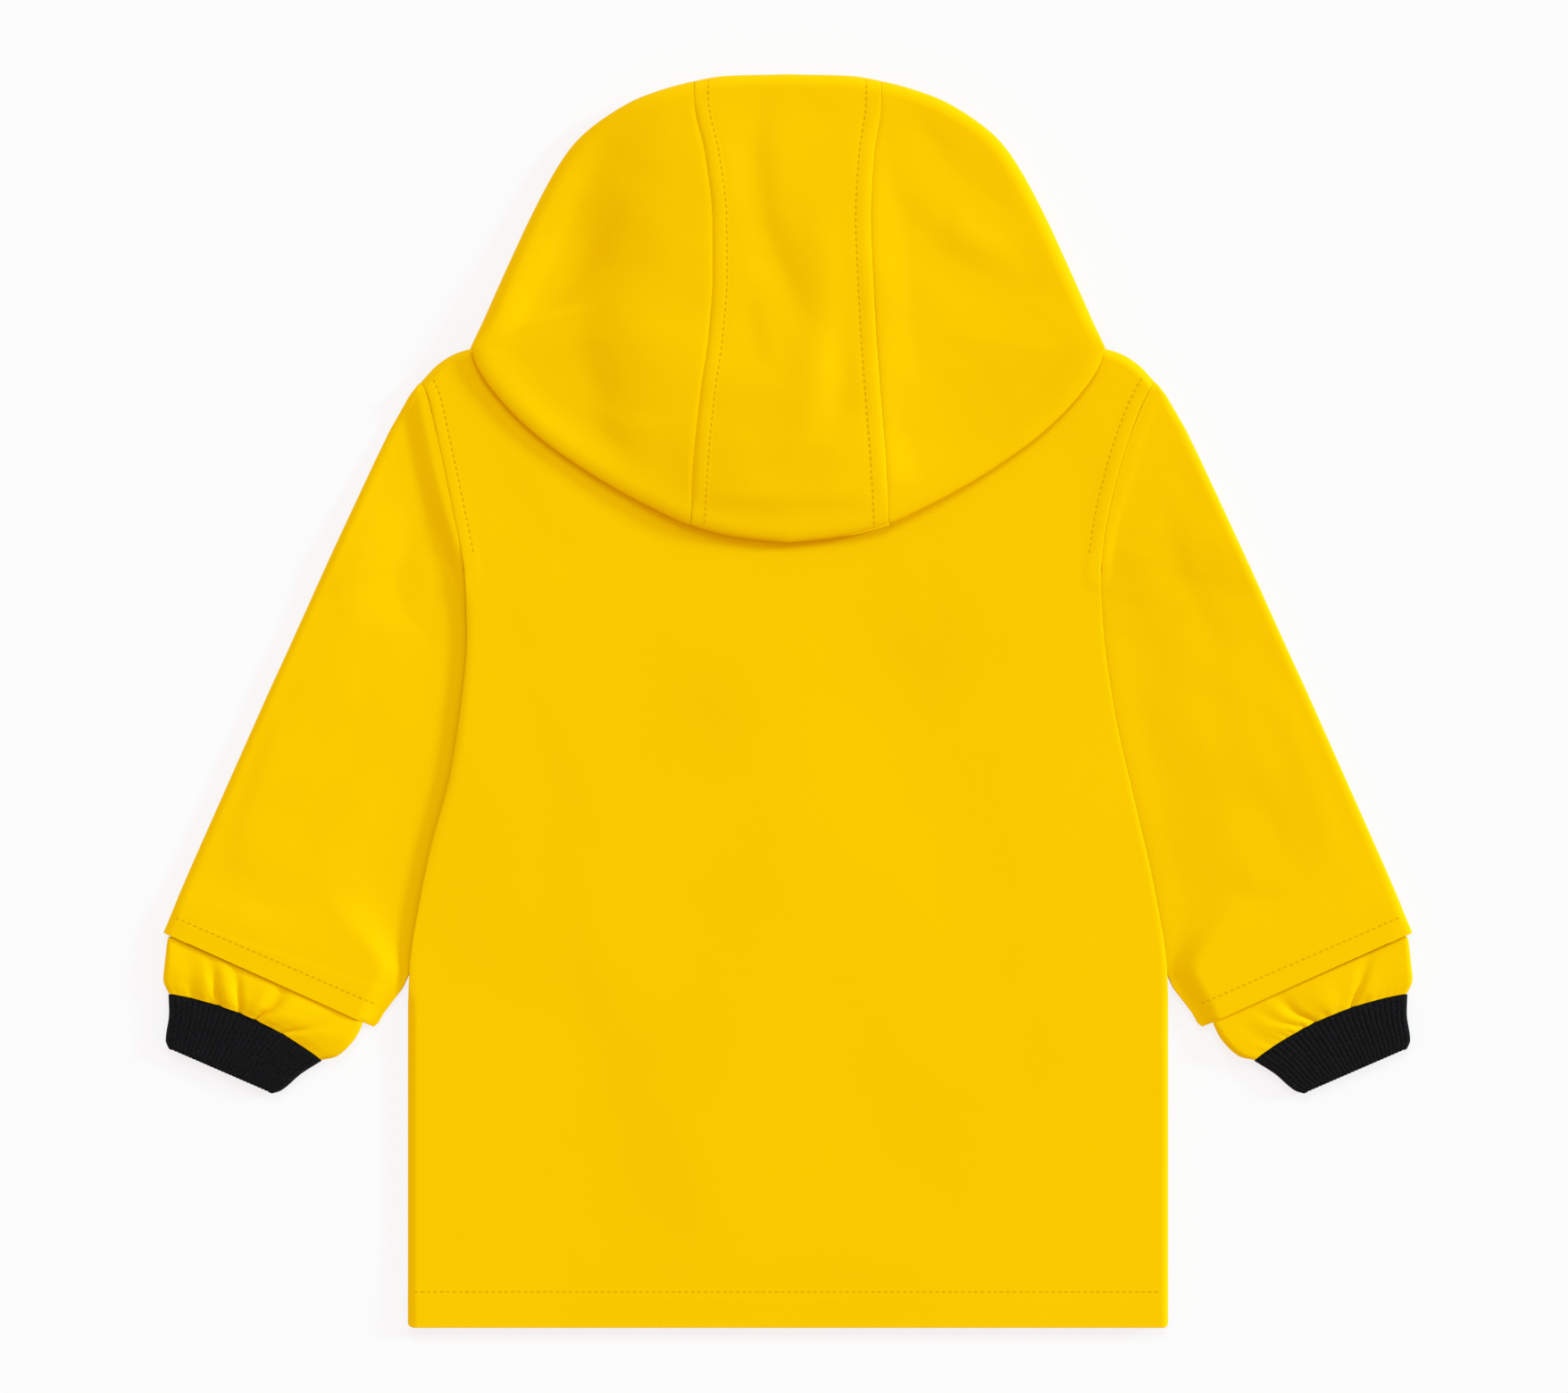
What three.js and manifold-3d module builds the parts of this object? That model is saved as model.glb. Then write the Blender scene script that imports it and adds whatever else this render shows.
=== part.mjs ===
// A child's hooded raincoat of coated cloth, laid flat on its front with its back up.
// Millimetres: +X across, +Y towards the hood, +Z up from the surface that it lies on.
// "Left" pieces lie at -X and are the wearer's left ones.
import * as THREE from "three";
import { mergeVertices } from "three/addons/utils/BufferGeometryUtils.js";
import Module from "manifold-3d";

const wasm = await Module();
wasm.setup();

// Driving sizes
const CLOTH = 1.2; // wall of the coated cloth with its lining
const RIB_WALL = 1.4; // wall of the knitted cuff, without its ribs
const SEAM = 0.3; // gap left between two pieces at a seam
const HEM_Y = -301.9; // bottom hem
const HEM_DEPTH = 18; // turned hem of the body
const HEM_EXTRA = 0.5; // what a turned hem adds inside
const SLEEVE_HEM_DEPTH = 15;
const NECK_HALF = 68; // side neck point, from the middle
const NECK_Y = 197;
const BACK_NECK_DROP = 17;
const FRONT_NECK_DROP = 61;
const SHOULDER_TIP = { x: 176, y: 152.7 };
const ARMHOLE_END_Y = 62; // below it the body lies over the sleeve
const OVERLAP_HALF = 18; // front overlap, each side of the middle
const STUD_COUNT = 5;
const STUD_TOP_Y = 112;
const STUD_PITCH = 92;
const HOOD_TOP_Y = 301.9;
const HOOD_FOLD_Y = 76.1; // where the hood's back sags over the neck seam

// Heights of the middle of each wall above the surface
const FLOOR_Z = CLOTH / 2;
const SECOND_Z = FLOOR_Z + CLOTH + SEAM; // a wall lying on the lowest one
const BACK_Z = 5.6;
const BACK_HEM_Z = 5.0;
const TUCK_Z = SECOND_Z + CLOTH + 0.5; // body's edge over the tucked sleeve
const SLEEVE_HEM_RISE = 1.0; // room for the inner cuff
const OVER_BACK_Z = BACK_Z + CLOTH + SEAM; // hood's under layer on the back
const HOOD_EDGE_Z = 12.2;
const HOOD_DOME = 4.2;
const HOOD_ROLL = 6.5;
const HOOD_SEAM_TOP = 45; // half width of the hood's middle over the crown and brim
const HOOD_NECK = { x: 69, y: 200.6 }; // where the hood turns round the side neck point

// Half width of the body's edge: hem, side, tuck, armhole, shoulder tip
const bodyRows = [
  { y: HEM_Y, half: 183 },
  { y: -150, half: 183 },
  { y: -130, half: 182.5 },
  { y: -93, half: 176.9 },
  { y: -50, half: 167.3 },
  { y: -6, half: 157.4 },
  { y: 37, half: 151.6 },
  { y: 60, half: 150.6 },
  { y: 80, half: 152.6 },
  { y: 114, half: 160.3 },
  { y: 146, half: 172 },
  { y: SHOULDER_TIP.y, half: SHOULDER_TIP.x },
];
// Height of the body's edge: shut on the front, over the sleeve, in the armhole seam
const bodyEdgeRows = [
  { y: HEM_Y, z: SECOND_Z },
  { y: -151, z: SECOND_Z },
  { y: -138, z: TUCK_Z },
  { y: 40, z: TUCK_Z },
  { y: 68, z: BACK_Z },
  { y: 300, z: BACK_Z },
];
const shoulderRows = [
  { x: NECK_HALF, y: NECK_Y },
  { x: 110, y: 184 },
  { x: 152.4, y: 169.9 },
  { x: 160.6, y: 166.8 },
  { x: 168.8, y: 160.4 },
  { x: SHOULDER_TIP.x, y: SHOULDER_TIP.y },
];
// Sections of a sleeve: outer edge, where the inner edge crosses the body's edge,
// how far outside that edge it lies, and how high its upper layer ends there
const sleeveRows = [
  { outX: 178.4, outY: 151.2, inY: 152, beyond: 0.3, z: BACK_Z, slope: 1 },
  { outX: 182.6, outY: 148, inY: 148, beyond: 0.3, z: BACK_Z, slope: 1 },
  { outX: 187, outY: 140.6, inY: 141.5, beyond: 0.3, z: BACK_Z, slope: 1 },
  { outX: 191.5, outY: 131, inY: 134, beyond: 0.3, z: BACK_Z, slope: 1 },
  { outX: 199, outY: 115.5, inY: 121, beyond: 0.3, z: BACK_Z, slope: 1 },
  { outX: 209, outY: 94, inY: 104, beyond: 0.3, z: BACK_Z, slope: 1 },
  { outX: 219, outY: 72.5, inY: 88, beyond: 0.3, z: BACK_Z, slope: 3 },
  { outX: 227, outY: 55, inY: 75, beyond: 0.3, z: 5.2, slope: 8 },
  { outX: 234, outY: 39.5, inY: 64, beyond: 0.3, z: 3.9, slope: 14 },
  { outX: 241, outY: 24, inY: 52, beyond: -3, z: 2.7, slope: 18 },
  { outX: 250, outY: 4.5, inY: 36, beyond: -8, z: SECOND_Z, slope: 22 },
  { outX: 260, outY: -18, inY: 8, beyond: -8, z: SECOND_Z, slope: 24 },
  { outX: 270, outY: -40.5, inY: -26, beyond: -8, z: SECOND_Z, slope: 24 },
  { outX: 280, outY: -63, inY: -62, beyond: -8, z: SECOND_Z, slope: 20 },
  { outX: 288, outY: -81, inY: -96, beyond: -7, z: SECOND_Z, slope: 15 },
  { outX: 293.5, outY: -94, inY: -122, beyond: -4, z: SECOND_Z, slope: 10 },
  { outX: 297, outY: -102.8, inY: -138, beyond: 1, z: SECOND_Z, slope: 12 },
  { outX: 300.8, outY: -111.8, inY: -157, beyond: 13.7, z: SECOND_Z, slope: 7 },
];
// Half width of the hood's outline above its corner, and along its bottom fold
const hoodSideRows = [
  { x: 0, y: HOOD_TOP_Y },
  { x: 28.8, y: 301.2 },
  { x: 46, y: 298.4 },
  { x: 70.5, y: 291.1 },
  { x: 89, y: 280.8 },
  { x: 101.5, y: 270.5 },
  { x: 109.4, y: 260.2 },
  { x: 121, y: 239.5 },
  { x: 135.5, y: 208.6 },
  { x: 144.7, y: 187.9 },
  { x: 152.6, y: 169.9 },
];
const hoodFoldRows = [
  { x: 152.6, y: 169.9 },
  { x: 149.8, y: 161.3 },
  { x: 137.5, y: 144 },
  { x: 119.8, y: 126.9 },
  { x: 102, y: 114 },
  { x: 84.7, y: 103.2 },
  { x: 68.8, y: 94.6 },
  { x: 46.6, y: 84.4 },
  { x: 25.6, y: 79 },
  { x: 0, y: HOOD_FOLD_Y },
];
// Seams between the hood's middle and sides: they wander a little differently
const hoodSeamRows = [
  { y: HOOD_FOLD_Y, left: 47, right: 49.2 },
  { y: 115, left: 45, right: 47 },
  { y: 150, left: 41.5, right: 44.2 },
  { y: 175, left: 38, right: 42.4 },
  { y: 205, left: 36, right: 40.8 },
  { y: 232, left: 36.2, right: 39.8 },
  { y: 262, left: 39.6, right: 41.4 },
  { y: 290, left: HOOD_SEAM_TOP, right: HOOD_SEAM_TOP },
  { y: HOOD_TOP_Y, left: HOOD_SEAM_TOP, right: HOOD_SEAM_TOP },
];
// Edge of the face opening, from the brim to the chin, on the surface
const faceRows = [
  { x: 0, y: 283 },
  { x: 25, y: 279 },
  { x: 45, y: 266 },
  { x: 56, y: 246 },
  { x: 58, y: 224 },
  { x: 51, y: 198 },
  { x: 38, y: 173 },
  { x: 20, y: 151 },
  { x: 0.2, y: 142 },
];
// Inner cuff and knitted cuff, by distance beyond the sleeve's hem: both sides'
// places along the hem, heights of the lower and upper walls, depth of gathers
const innerCuffRows = [
  { along: -22, from: 6, to: 104, low: 2.6, high: 4.2, gather: 0 },
  { along: 0.5, from: 5, to: 104, low: 2.6, high: 4.2, gather: 0 },
  { along: 3.5, from: 2.2, to: 104, low: 1.5, high: 5.0, gather: 0.2 },
  { along: 8, from: 3.4, to: 103.6, low: 0.6, high: 6.0, gather: 0.5 },
  { along: 14, from: 6.4, to: 102.2, low: 0.6, high: 6.6, gather: 0.9 },
  { along: 21, from: 9.4, to: 99, low: 0.6, high: 5.8, gather: 1.0 },
  { along: 25.7, from: 14, to: 93.8, low: 0.6, high: 4.4, gather: 0.5 },
];
const ribCuffRows = [
  { along: 26.1, from: 14.2, to: 93.6, low: 0.7, high: 4.3 },
  { along: 46.5, from: 22.8, to: 81.4, low: 0.7, high: 4.2 },
  { along: 49.3, from: 25.6, to: 78, low: 0.7, high: 4 },
];
const CUFF_ARCH = 6; // how far the seam between the cuffs arches up the arm
const GATHERS = 7;
const RIBS = 24; // on each side of the flat cuff
const RIB_RAISE = 0.35;

// Largest folds: a soft line from a to b, bowed sideways; a negative rise is a trough
const hoodFolds = [
  { ax: -62, ay: 286, bx: -84, by: 196, bow: 6, width: 11, rise: -1.7 },
  { ax: -88, ay: 244, bx: -136, by: 176, bow: -5, width: 8, rise: -1.3 },
  { ax: -76, ay: 200, bx: -60, by: 112, bow: 7, width: 12, rise: -1.4 },
  { ax: -16, ay: 285, bx: 5, by: 188, bow: 8, width: 6, rise: -1.1 },
  { ax: 16, ay: 236, bx: 6, by: 122, bow: -5, width: 7, rise: 1.2 },
  { ax: -40, ay: 94, bx: 36, by: 95, bow: -3, width: 6, rise: -1.2 },
  { ax: 48, ay: 244, bx: 112, by: 196, bow: 7, width: 9, rise: -1.1 },
  { ax: 60, ay: 122, bx: 134, by: 162, bow: 5, width: 9, rise: -1.1 },
];
const backFolds = [
  { ax: -120, ay: -30, bx: -60, by: -250, bow: 16, width: 24, rise: -0.5 },
  { ax: 20, ay: 60, bx: 110, by: -190, bow: -14, width: 26, rise: -0.45 },
  { ax: -140, ay: 60, bx: -100, by: -70, bow: 9, width: 16, rise: -0.45 },
];

const mix = THREE.MathUtils.lerp;

// Curves: the value of one column at a place in another, smooth and without overshoot
function column(rows, key, name) {
  const steps = rows.slice(1).map((row, i) => {
    const width = row[key] - rows[i][key];
    return { width, slope: (row[name] - rows[i][name]) / width };
  });
  const slopes = rows.map((_, i) => {
    const before = steps[Math.max(i - 1, 0)].slope;
    const after = steps[Math.min(i, steps.length - 1)].slope;
    return before * after > 0 ? (2 * before * after) / (before + after) : 0;
  });
  return (at) => {
    const rising = steps[0].width > 0;
    let i = rows.findIndex((row) => (rising ? row[key] > at : row[key] < at)) - 1;
    if (i === -1) return rows[0][name];
    if (i < 0) return rows[rows.length - 1][name];
    const { width } = steps[i];
    const t = (at - rows[i][key]) / width;
    const u = 1 - t;
    return (
      rows[i][name] * u * u * (1 + 2 * t) +
      rows[i + 1][name] * t * t * (1 + 2 * u) +
      width * t * u * (slopes[i] * u - slopes[i + 1] * t)
    );
  };
}
// A path through points, by its share of the length
function path(points) {
  let length = 0;
  const rows = points.map((p, i) => {
    if (i) length += Math.hypot(p.x - points[i - 1].x, p.y - points[i - 1].y);
    return { ...p, length };
  });
  const x = column(rows, "length", "x");
  const y = column(rows, "length", "y");
  return (share) => ({ x: x(share * length), y: y(share * length) });
}
const sample = (curve, count) =>
  Array.from({ length: count + 1 }, (_, i) => curve(i / count));

// The same line moved inwards, for lines that run clockwise
function inset(line, depth) {
  return line.map((p, i) => {
    const a = line[Math.max(i - 1, 0)];
    const b = line[Math.min(i + 1, line.length - 1)];
    const length = Math.hypot(b.x - a.x, b.y - a.y);
    const x = p.x + ((b.y - a.y) / length) * depth;
    return { x: Math.max(0, x), y: p.y - ((b.x - a.x) / length) * depth };
  });
}
function distanceTo(line, x, y) {
  let best = Infinity;
  for (let i = 1; i < line.length; i++) {
    const a = line[i - 1];
    const dx = line[i].x - a.x;
    const dy = line[i].y - a.y;
    const t = ((x - a.x) * dx + (y - a.y) * dy) / (dx * dx + dy * dy);
    const s = THREE.MathUtils.clamp(t, 0, 1);
    best = Math.min(best, Math.hypot(x - a.x - s * dx, y - a.y - s * dy));
  }
  return best;
}
function foldHeight(folds, x, y) {
  let height = 0;
  for (const f of folds) {
    const dx = f.bx - f.ax;
    const dy = f.by - f.ay;
    const length = Math.hypot(dx, dy);
    const t = ((x - f.ax) * dx + (y - f.ay) * dy) / length ** 2;
    if (t < -0.2 || t > 1.2) continue;
    const off = ((x - f.ax) * dy - (y - f.ay) * dx) / length - f.bow * 4 * t * (1 - t);
    const ends = THREE.MathUtils.smoothstep(Math.min(t, 1 - t), -0.2, 0.3);
    height += f.rise * ends * Math.exp(-((off / f.width) ** 2));
  }
  return height;
}
const easeOff = (q) => (q < 1 ? (1 - q) ** 2 : 0); // 1 at an edge, 0 past it
const dome = (q) => (q < 1 ? Math.sqrt(1 - (1 - q) ** 2) : 1); // quarter of an ellipse

const bodyHalf = column(bodyRows, "y", "half");
const bodyEdgeZ = column(bodyEdgeRows, "y", "z");
const shoulderY = column(shoulderRows, "x", "y");
const seamLeft = column(hoodSeamRows, "y", "left");
const seamRight = column(hoodSeamRows, "y", "right");
const hoodCorner = { x: 152, y: shoulderY(152) };
const hoodOutline = inset(
  [...sample(path(hoodSideRows), 60), ...sample(path(hoodFoldRows), 60).slice(1)],
  CLOTH / 2,
);
hoodOutline[60] = hoodCorner;
const hoodSideLine = hoodOutline.slice(0, 61);
const hoodFoldLine = hoodOutline.slice(60);
const shoulderLine = sample((s) => {
  const x = mix(NECK_HALF, SHOULDER_TIP.x, s);
  return { x, y: shoulderY(x) };
}, 54);
const bodySideLine = Array.from({ length: 41 }, (_, i) => {
  const y = mix(HEM_Y, ARMHOLE_END_Y + 6, i / 40);
  return { x: bodyHalf(y), y };
});
const backNeckY = (x) => NECK_Y - BACK_NECK_DROP * (1 - (x / NECK_HALF) ** 2);
const frontNeckY = (x) =>
  NECK_Y - FRONT_NECK_DROP * Math.sqrt(Math.max(0, 1 - (x / NECK_HALF) ** 2));

// The other coordinate of a line where one of its coordinates passes a value
function crossing(line, along, at, name) {
  for (let i = 1; i < line.length; i++) {
    const a = line[i - 1];
    const b = line[i];
    if ((a[along] - at) * (b[along] - at) <= 0 && a[along] !== b[along])
      return mix(a[name], b[name], (at - a[along]) / (b[along] - a[along]));
  }
  return line[line.length - 1][name];
}

// A sheet is a grid or several grids of points joined along shared edges, which
// is then given a wall. A point is [x, y, z, added outside, added inside].
class Sheet {
  constructor(outside, inside) {
    this.wall = { outside, inside };
    this.points = [];
    this.faces = [];
    this.known = new Map();
  }
  vertex(point) {
    const key = point
      .slice(0, 3)
      .map((c) => Math.round(c * 200))
      .join();
    if (!this.known.has(key)) {
      this.known.set(key, this.points.length);
      this.points.push(point);
    }
    return this.known.get(key);
  }
  face(a, b, c) {
    if (a !== b && b !== c && a !== c) this.faces.push([a, b, c]);
  }
  grid(rows, { flip = false, closed = false } = {}) {
    const ids = rows.map((row) => row.map((point) => this.vertex(point)));
    for (let i = 1; i < ids.length; i++) {
      const across = ids[i].length;
      for (let j = closed ? 0 : 1; j < across; j++) {
        const k = (j + across - 1) % across;
        const quad = [ids[i - 1][k], ids[i - 1][j], ids[i][j], ids[i][k]];
        const [a, b, c, d] = quad;
        this.face(a, flip ? c : b, flip ? b : c);
        this.face(a, flip ? d : c, flip ? c : d);
      }
    }
    return this;
  }
  // The closed solid: outer and inner copies along the normals, and a rim
  solid() {
    const at = this.points.map((p) => new THREE.Vector3(p[0], p[1], p[2]));
    const normals = at.map(() => new THREE.Vector3());
    const edges = new Map();
    for (const [a, b, c] of this.faces) {
      const side = new THREE.Vector3().subVectors(at[b], at[a]);
      const normal = side.cross(new THREE.Vector3().subVectors(at[c], at[a]));
      [a, b, c].forEach((v) => normals[v].add(normal));
      [
        [a, b],
        [b, c],
        [c, a],
      ].forEach(([s, e]) => {
        if (!edges.delete(e + "," + s)) edges.set(s + "," + e, [s, e]);
      });
    }
    const count = at.length;
    const position = [];
    at.forEach((p, i) => {
      const n = normals[i].normalize();
      const far = this.wall.outside + (this.points[i][3] ?? 0);
      position.push(p.x + n.x * far, p.y + n.y * far, p.z + n.z * far);
    });
    at.forEach((p, i) => {
      const n = normals[i];
      const far = this.wall.inside + (this.points[i][4] ?? 0);
      position.push(p.x - n.x * far, p.y - n.y * far, p.z - n.z * far);
    });
    const index = [];
    for (const [a, b, c] of this.faces) {
      index.push(a, b, c, a + count, c + count, b + count);
    }
    for (const [s, e] of edges.values()) {
      index.push(s, s + count, e + count, s, e + count, e);
    }
    const geometry = new THREE.BufferGeometry();
    geometry.setAttribute("position", new THREE.Float32BufferAttribute(position, 3));
    geometry.setIndex(index);
    return geometry;
  }
}
// The same sheet on the other side of the middle: its right-hand form is given by
// rows(side), with x measured outwards
const mirrored = (rows, side) =>
  rows.map((row) => row.map(([x, ...rest]) => [side * x, ...rest]));

// Heights of the cloth
function backHeight(x, y) {
  const out = Math.abs(x);
  const hem = THREE.MathUtils.smoothstep(y, HEM_Y, HEM_Y + 40);
  const flat = mix(BACK_HEM_Z, BACK_Z, hem) + foldHeight(backFolds, x, y) * hem;
  const edge = bodyEdgeZ(y);
  const side = easeOff(distanceTo(bodySideLine, out, y) / 8);
  const shoulder = easeOff(distanceTo(shoulderLine, out, y) / 7);
  const lowered = flat - Math.max(0, flat - edge) * side;
  return mix(lowered, Math.min(SECOND_Z, lowered), shoulder);
}
// Under the hood: on the back below the shoulder line, on the surface above it
function underHood(x, y, layer) {
  const out = Math.abs(x);
  const from = distanceTo(shoulderLine, out, y);
  const crown = layer === "top" && y > NECK_Y;
  const above = out < NECK_HALF ? layer === "table" || crown : y >= shoulderY(out);
  const past = above ? from : -from;
  return mix(OVER_BACK_Z, FLOOR_Z, THREE.MathUtils.smoothstep(past, 0.5, 12));
}
function hoodHeight(x, y, layer) {
  const out = Math.abs(x);
  const from = distanceTo(hoodOutline, out, y);
  const share = dome(Math.max(0, from - 0.01) / HOOD_ROLL);
  const onShoulder = THREE.MathUtils.smoothstep(y, 150, 190);
  const edgeTop = mix(HOOD_EDGE_Z, HOOD_EDGE_Z - 1.2, onShoulder);
  const rise = HOOD_DOME * THREE.MathUtils.smoothstep(from, 0, 70);
  const inside = THREE.MathUtils.smoothstep(from, 3, 20);
  const top = edgeTop + rise + foldHeight(hoodFolds, x, y) * inside;
  const under = underHood(x, y, layer);
  const middle = (edgeTop + under) / 2;
  return mix(middle, layer === "top" ? top : under, share);
}
const rollSteps = [0, 40, 66, 90].map((a) => 1 - Math.cos((a * Math.PI) / 180));

// Back: one panel from the hem to the neck, its edges eased down to the front
function backPanel() {
  const up = [0, 17, 19.5, 60, 105, 148, 156, 165, 180, 225, 272, 304, 334, 350, 366, 384, 412, 444];
  const edge = [7, 3, 0];
  const top = BACK_Z + CLOTH;
  const inset = 0.42;
  const tops = (x) => (x > NECK_HALF ? shoulderY(x) - inset : backNeckY(x));
  const sheet = new Sheet(CLOTH / 2, CLOTH / 2);
  const shares = [0, 0.2, 0.387, 0.6, 0.82];
  const columns = [...shares, ...edge.map((d) => 1 - d / 172)];
  const across = [...columns.slice(1).reverse().map((u) => -u), ...columns];
  const sideAt = (y) => bodyHalf(Math.min(y, SHOULDER_TIP.y)) - inset;
  const rows = up.map((rise) =>
    across.map((u) => {
      const limit = tops(Math.abs(u) * (SHOULDER_TIP.x - inset));
      const y = mix(HEM_Y, limit - edge[0], rise / up[up.length - 1]);
      return [u * sideAt(y), y];
    }),
  );
  edge.slice(1).forEach((d) =>
    rows.push(
      across.map((u) => {
        const y = tops(Math.abs(u) * (SHOULDER_TIP.x - inset)) - d;
        return [u * sideAt(y), y];
      }),
    ),
  );
  const lifted = rows.map((row) =>
    row.map(([x, y]) => {
      const turned = y < HEM_Y + HEM_DEPTH ? HEM_EXTRA : 0;
      return [x, y, Math.min(backHeight(x, y), top), 0, turned];
    }),
  );
  return sheet.grid(lifted).solid();
}

// Fronts: flat on the surface, and the wearer's right one under the left one
function frontPanel(side) {
  const up = [0, 0.33, 0.39, 0.48, 0.6, 0.66, 0.72, 0.78, 0.83, 0.88, 0.92, 0.95, 0.975, 1];
  const under = side > 0;
  const inner = under
    ? [60, 46, 24.5, 19.6, 0, -OVERLAP_HALF]
    : [60, 46, 24.5, 0, -OVERLAP_HALF];
  const outer = [1, 0.78, 0.4, 0];
  const height = (x) =>
    under ? mix(SECOND_Z, FLOOR_Z, THREE.MathUtils.clamp((x - 19.6) / 4.9, 0, 1)) : FLOOR_Z;
  const rows = up.map((share) => [
    ...outer.map((u) => {
      const x = mix(NECK_HALF, SHOULDER_TIP.x, u);
      const y = mix(HEM_Y, shoulderY(x), share);
      const half = bodyHalf(Math.min(y, SHOULDER_TIP.y)) - SEAM / 2;
      return [mix(NECK_HALF, half, u), y, FLOOR_Z];
    }),
    ...inner.map((x) => [x, mix(HEM_Y, frontNeckY(x), share), height(x)]),
  ]);
  return new Sheet(CLOTH / 2, CLOTH / 2)
    .grid(mirrored(rows, side), { flip: side < 0 })
    .solid();
}

// Sleeve: one cloth folded round its outer edge; its two ends meet at the inner
// edge, are sewn to the armhole, and lie tucked under the back's edge
function sleeve(side) {
  const upper = [0, 0.07, 0.12, 0.17, 0.23, 0.32, 0.5, 0.75];
  const lower = [0.6, 0];
  const rows = sleeveRows.map((r, i) => {
    const seam = bodyHalf(r.inY);
    const outer = new THREE.Vector2(r.outX - CLOTH / 2, r.outY);
    const tucked = new THREE.Vector2(seam + r.beyond, r.inY);
    const open = new THREE.Vector2(seam + Math.max(r.beyond, 2 * SEAM), r.inY);
    const end = sleeveRows[sleeveRows.length - 1];
    const toHem = Math.hypot(end.outX - r.outX, end.outY - r.outY);
    const rise = SLEEVE_HEM_RISE * THREE.MathUtils.smoothstep(-toHem, -45, -18);
    const turned = toHem < SLEEVE_HEM_DEPTH ? HEM_EXTRA : 0;
    const width = outer.distanceTo(tucked);
    const roll = Math.min(4.5, width * 0.4);
    const armhole = THREE.MathUtils.smoothstep(r.inY, 60, 80);
    const topZ = (from) => {
      const valley = armhole * Math.exp(-(((from - 8) / 6) ** 2));
      const flat = BACK_Z + rise - valley;
      const rising = from + Math.min(0, r.beyond) - 1.5;
      return mix(flat, r.z, 1 - THREE.MathUtils.smoothstep(rising, 0, r.slope));
    };
    const crown = topZ(width - roll);
    const middle = (crown + FLOOR_Z) / 2;
    const place = (inner, share, z) => {
      const p = new THREE.Vector2().lerpVectors(inner, outer, share);
      return [p.x, p.y, z, 0, turned];
    };
    const flatShare = 1 - roll / width;
    const lowShare = 1 - roll / outer.distanceTo(open);
    const point = [
      ...upper.map((w) => place(tucked, w * flatShare, topZ(w * flatShare * width))),
      ...[...rollSteps].reverse().map((s) => {
        const share = 1 - (roll * s) / width;
        return place(tucked, share, mix(middle, crown, dome(s)));
      }),
      ...rollSteps.slice(1).map((s) => {
        const share = 1 - (roll * s) / outer.distanceTo(open);
        return place(open, share, mix(middle, FLOOR_Z, dome(s)));
      }),
      ...lower.map((w) => place(open, w * lowShare, FLOOR_Z)),
    ];
    return i ? point : point.map(([x, y, z]) => [x, y, Math.min(z, BACK_Z - 1.6)]);
  });
  return new Sheet(CLOTH / 2, CLOTH / 2)
    .grid(mirrored(rows, side), { flip: side > 0 })
    .solid();
}

// Cuffs: flattened rings across the arm, each from a row of its table
const hemRow = sleeveRows[sleeveRows.length - 1];
const hemOuter = new THREE.Vector2(hemRow.outX, hemRow.outY);
const hemInner = new THREE.Vector2(bodyHalf(hemRow.inY) + hemRow.beyond, hemRow.inY);
const acrossHem = new THREE.Vector2().subVectors(hemInner, hemOuter).normalize();
const downArm = new THREE.Vector2(-acrossHem.y, acrossHem.x);

// Places round a flattened ring: lower side, inner end, upper side, outer end
function ringPlaces(lowCount, highCount, endCount) {
  const places = [];
  for (let i = 0; i < lowCount; i++) places.push({ w: i / (lowCount - 1), turn: -90 });
  for (let i = 1; i < endCount; i++)
    places.push({ w: 1, turn: mix(-90, 90, i / endCount), end: 1 });
  for (let i = 0; i < highCount; i++)
    places.push({ w: 1 - i / (highCount - 1), turn: 90 });
  for (let i = 1; i < endCount; i++)
    places.push({ w: 0, turn: mix(90, -90, i / endCount), end: -1 });
  return places;
}
function cuffRows(rows, places, side, arch, detail) {
  return rows.map((r) =>
    places.map(({ w, turn, end = 0 }, i) => {
      const semi = (r.high - r.low) / 2;
      const swell = Math.cos((turn * Math.PI) / 180) * semi * 0.8 * end;
      const at = mix(r.from + semi * 0.8, r.to - semi * 0.8, w) + swell;
      const lift = 1 - (2 * (at - r.from)) / (r.to - r.from);
      const along = r.along - arch(r) * (1 - lift * lift);
      const z = (r.high + r.low) / 2 + semi * Math.sin((turn * Math.PI) / 180);
      const { rise = 0, out = 0 } = detail(r, w, turn, i);
      return [
        side * (hemOuter.x + acrossHem.x * at + downArm.x * along),
        hemOuter.y + acrossHem.y * at + downArm.y * along,
        z + rise,
        out,
      ];
    }),
  );
}
function innerCuff(side) {
  const places = ringPlaces(8, 22, 2);
  const arch = (r) => CUFF_ARCH * THREE.MathUtils.smoothstep(r.along, 10, 25);
  const phase = side > 0 ? 0.3 : 0;
  const gathered = (r, w, turn) => {
    const wave = Math.sin((w + phase) * GATHERS * 2 * Math.PI);
    return { rise: turn === 90 ? r.gather * wave * Math.sin(w * Math.PI) : 0 };
  };
  const rows = cuffRows(innerCuffRows, places, side, arch, gathered);
  return new Sheet(CLOTH / 2 - 0.1, CLOTH / 2 - 0.1)
    .grid(rows, { flip: side > 0, closed: true })
    .solid();
}
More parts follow.
